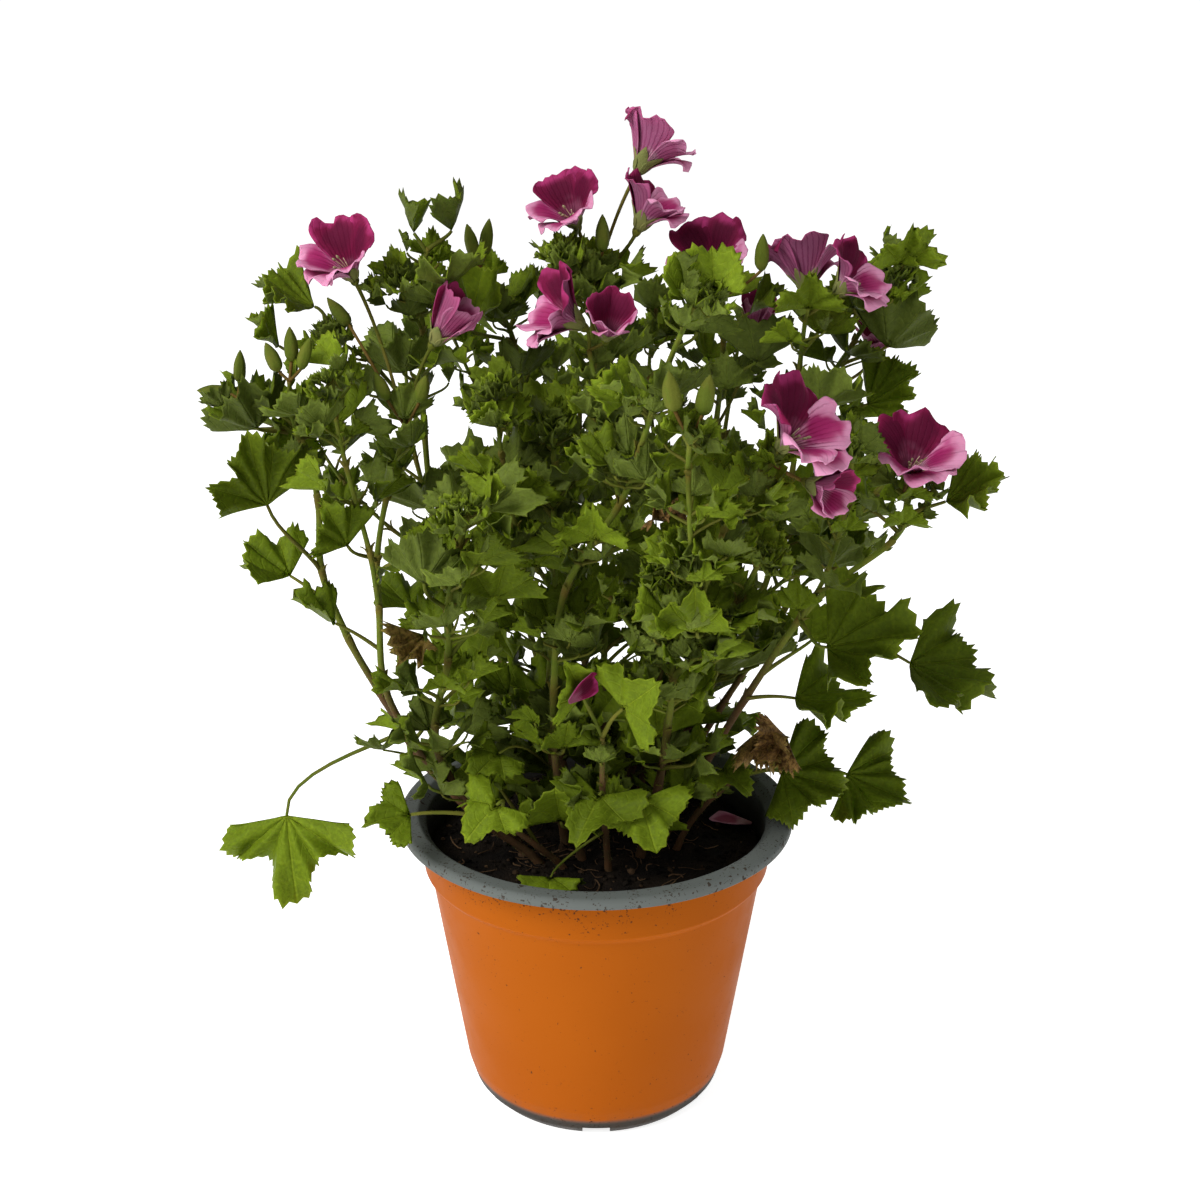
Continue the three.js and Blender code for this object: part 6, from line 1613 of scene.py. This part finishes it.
class PELARGONIUM_OT_blooms(bpy.types.Operator):
    """Builds the petals of every bloom and the two that have dropped"""
    bl_idname = "pelargonium.blooms"
    bl_label = "Blooms"

    def execute(self, context):
        props = context.scene.pelargonium_petals
        dark = petal_material("dark_petal", props, True)
        pink = petal_material("pink_petal", props, False)
        for i, flower in enumerate(BLOOMS + BUDDING):
            bloom = bloom_frame(flower)
            full = flower in BLOOMS
            tint = TINTS.get(flower[0], 0.0)
            name = f"bloom_{flower[0]}"
            for shapes, made, slot, half in ((UPPER_PETALS, dark, "dark_petal", "dark"),
                                             (LOWER_PETALS, pink, "pink_petal", "pink")):
                skin = Skin()
                for k, shape in enumerate(shapes):
                    petal(skin, bloom, shape, 10 * i + k + (5 if half == "dark" else 0), tint)
                skin.piece(f"{flower[0]}_{half}_petals", made, slot, f"{name}_{half}" if full else name)
        for name, made, slot, wide in (("fallen_petal_pink", pink, "pink_petal", 1.0),
                                       ("fallen_petal_dark", dark, "dark_petal", 0.0)):
            skin = Skin()
            dropped(skin, name, wide)
            skin.piece(f"{name}_blade", made, slot, name)
        return {"FINISHED"}


def dropped(skin, node, flat):
    """A dropped petal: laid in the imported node's own box, along its longest side, with a gentle wave."""
    points = corners(node)
    centre = points.mean(axis=0)
    axes = np.linalg.svd(points - centre, full_matrices=False)[2]
    long, wide, thin = axes
    if thin @ vec(0, -0.7, 0.7) < 0:
        thin = -thin
    wide = np.cross(thin, long)
    reach = np.abs((points - centre) @ long).max()
    breadth = np.abs((points - centre) @ wide).max()
    across = np.array((-1, -0.97, -0.8, -0.5, -0.2, 0, 0.2, 0.5, 0.8, 0.97, 1))[None]
    along = PETAL_ROWS[:, None]
    width = breadth * (0.15 + 0.85 * np.sin(np.minimum(along * (1 - 0.2 * across**2 * along), 0.8) * 1.96))
    height = 0.5 + 0.9 * across**2 * along + 0.35 * np.sin(6 * along + 3 * across) * along
    middle = centre + long * ((2 * along * (1 - 0.15 * across**2 * along) - 1) * reach * 0.98)[..., None]
    middle = middle + wide * (width * across)[..., None] + thin * (height - 0.2)[..., None]
    uv = np.stack(np.broadcast_arrays(across, along), -1)
    sheet(skin, middle, PETAL_THICKNESS, uv, tint=0.2, folded=0.0, dry=0.15 * flat)


# The stage, in metres and degrees. A lamp: name, place, size, power as a share of the key light.
LAMPS = (("key", (-0.95, -0.75, 1.15), 0.8, 1.0), ("fill", (0.7, -0.7, 1.4), 1.0, 0.07))
LAMP_AIM = (0, 0, 0.17)
FLOOR_REACH = 3.0
CAMERA_PLACE = (0.00126, -0.5, 0.34073)
CAMERA_DOWN = 18.657
CAMERA_LENS = 49.67


class PELARGONIUM_OT_stage(bpy.types.Operator):
    """Sets the pale floor, the soft light and the camera"""
    bl_idname = "pelargonium.stage"
    bl_label = "Stage"

    def execute(self, context):
        props = context.scene.pelargonium_stage
        scene = context.scene
        mesh = bpy.data.meshes.new("floor")
        far = FLOOR_REACH
        mesh.from_pydata([(-far, -far, 0), (far, -far, 0), (far, far, 0), (-far, far, 0)], [],
                         [(0, 1, 2, 3)])
        floor = bpy.data.objects.new("floor", mesh)
        scene.collection.objects.link(floor)
        made, _, inputs = material("floor", 0.9, specular_ior_level=0.1)
        inputs["Base Color"].default_value = (*props.floor, 1)
        inputs["Emission Color"].default_value = (1, 1, 1, 1)
        inputs["Emission Strength"].default_value = 0.8
        mesh.materials.append(made)
        world = bpy.data.worlds.new("white room")
        scene.world = world
        world.use_nodes = True
        w = Wires(world.node_tree)
        back = world.node_tree.nodes["Background"]
        back.inputs["Color"].default_value = (1, 1, 1, 1)
        seen = w.node("ShaderNodeLightPath").outputs["Is Camera Ray"]
        w.put(back.inputs["Strength"], w.step(seen, 0.0, 1.0, props.around, 1.05))
        for name, place, size, share in LAMPS:
            lamp = bpy.data.lights.new(name, "AREA")
            lamp.energy, lamp.size = props.key * share, size
            obj = bpy.data.objects.new(name, lamp)
            scene.collection.objects.link(obj)
            obj.location = place
            obj.rotation_euler = (Vector(LAMP_AIM) - Vector(place)).to_track_quat("-Z", "Y").to_euler()
        eye = bpy.data.cameras.new("camera")
        eye.lens, eye.sensor_width = CAMERA_LENS, 36
        eye.clip_start, eye.clip_end = 0.05, 20
        camera = bpy.data.objects.new("camera", eye)
        scene.collection.objects.link(camera)
        camera.location = CAMERA_PLACE
        camera.rotation_euler = (math.radians(90 - CAMERA_DOWN), 0, 0)
        scene.camera = camera
        scene.view_settings.view_transform = "Standard"
        scene.view_settings.look = "None"
        return {"FINISHED"}


class PELARGONIUM_PT_panel(bpy.types.Panel):
    bl_idname = "PELARGONIUM_PT_panel"
    bl_label = "Pelargonium"
    bl_space_type = "VIEW_3D"
    bl_region_type = "UI"
    bl_category = "Pelargonium"

    def draw(self, context):
        for step, group in STEPS:
            box = self.layout.box()
            box.operator(step.bl_idname)
            if group:
                settings = getattr(context.scene, group)
                for key in settings.__annotations__:
                    box.prop(settings, key)


STEPS = (
    (PELARGONIUM_OT_pot, "pelargonium_pot"),
    (PELARGONIUM_OT_soil, "pelargonium_soil"),
    (PELARGONIUM_OT_stems, "pelargonium_stems"),
    (PELARGONIUM_OT_leaves, "pelargonium_leaves"),
    (PELARGONIUM_OT_blooms, "pelargonium_petals"),
    (PELARGONIUM_OT_stage, "pelargonium_stage"),
)
GROUP_CLASSES = {
    "pelargonium_pot": PELARGONIUM_PG_pot, "pelargonium_soil": PELARGONIUM_PG_soil,
    "pelargonium_stems": PELARGONIUM_PG_stems, "pelargonium_leaves": PELARGONIUM_PG_leaves,
    "pelargonium_petals": PELARGONIUM_PG_petals, "pelargonium_stage": PELARGONIUM_PG_stage,
}


def register():
    for name, group in GROUP_CLASSES.items():
        bpy.utils.register_class(group)
        setattr(bpy.types.Scene, name, PointerProperty(type=group))
    for step, _ in STEPS:
        bpy.utils.register_class(step)
    bpy.utils.register_class(PELARGONIUM_PT_panel)


def unregister():
    bpy.utils.unregister_class(PELARGONIUM_PT_panel)
    for step, _ in reversed(STEPS):
        bpy.utils.unregister_class(step)
    for name, group in GROUP_CLASSES.items():
        delattr(bpy.types.Scene, name)
        bpy.utils.unregister_class(group)


def main():
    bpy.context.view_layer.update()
    register()
    bpy.ops.pelargonium.pot()
    bpy.ops.pelargonium.soil()
    bpy.ops.pelargonium.stems()
    bpy.ops.pelargonium.leaves()
    bpy.ops.pelargonium.blooms()
    bpy.ops.pelargonium.stage()


if __name__ == "__main__":
    main()
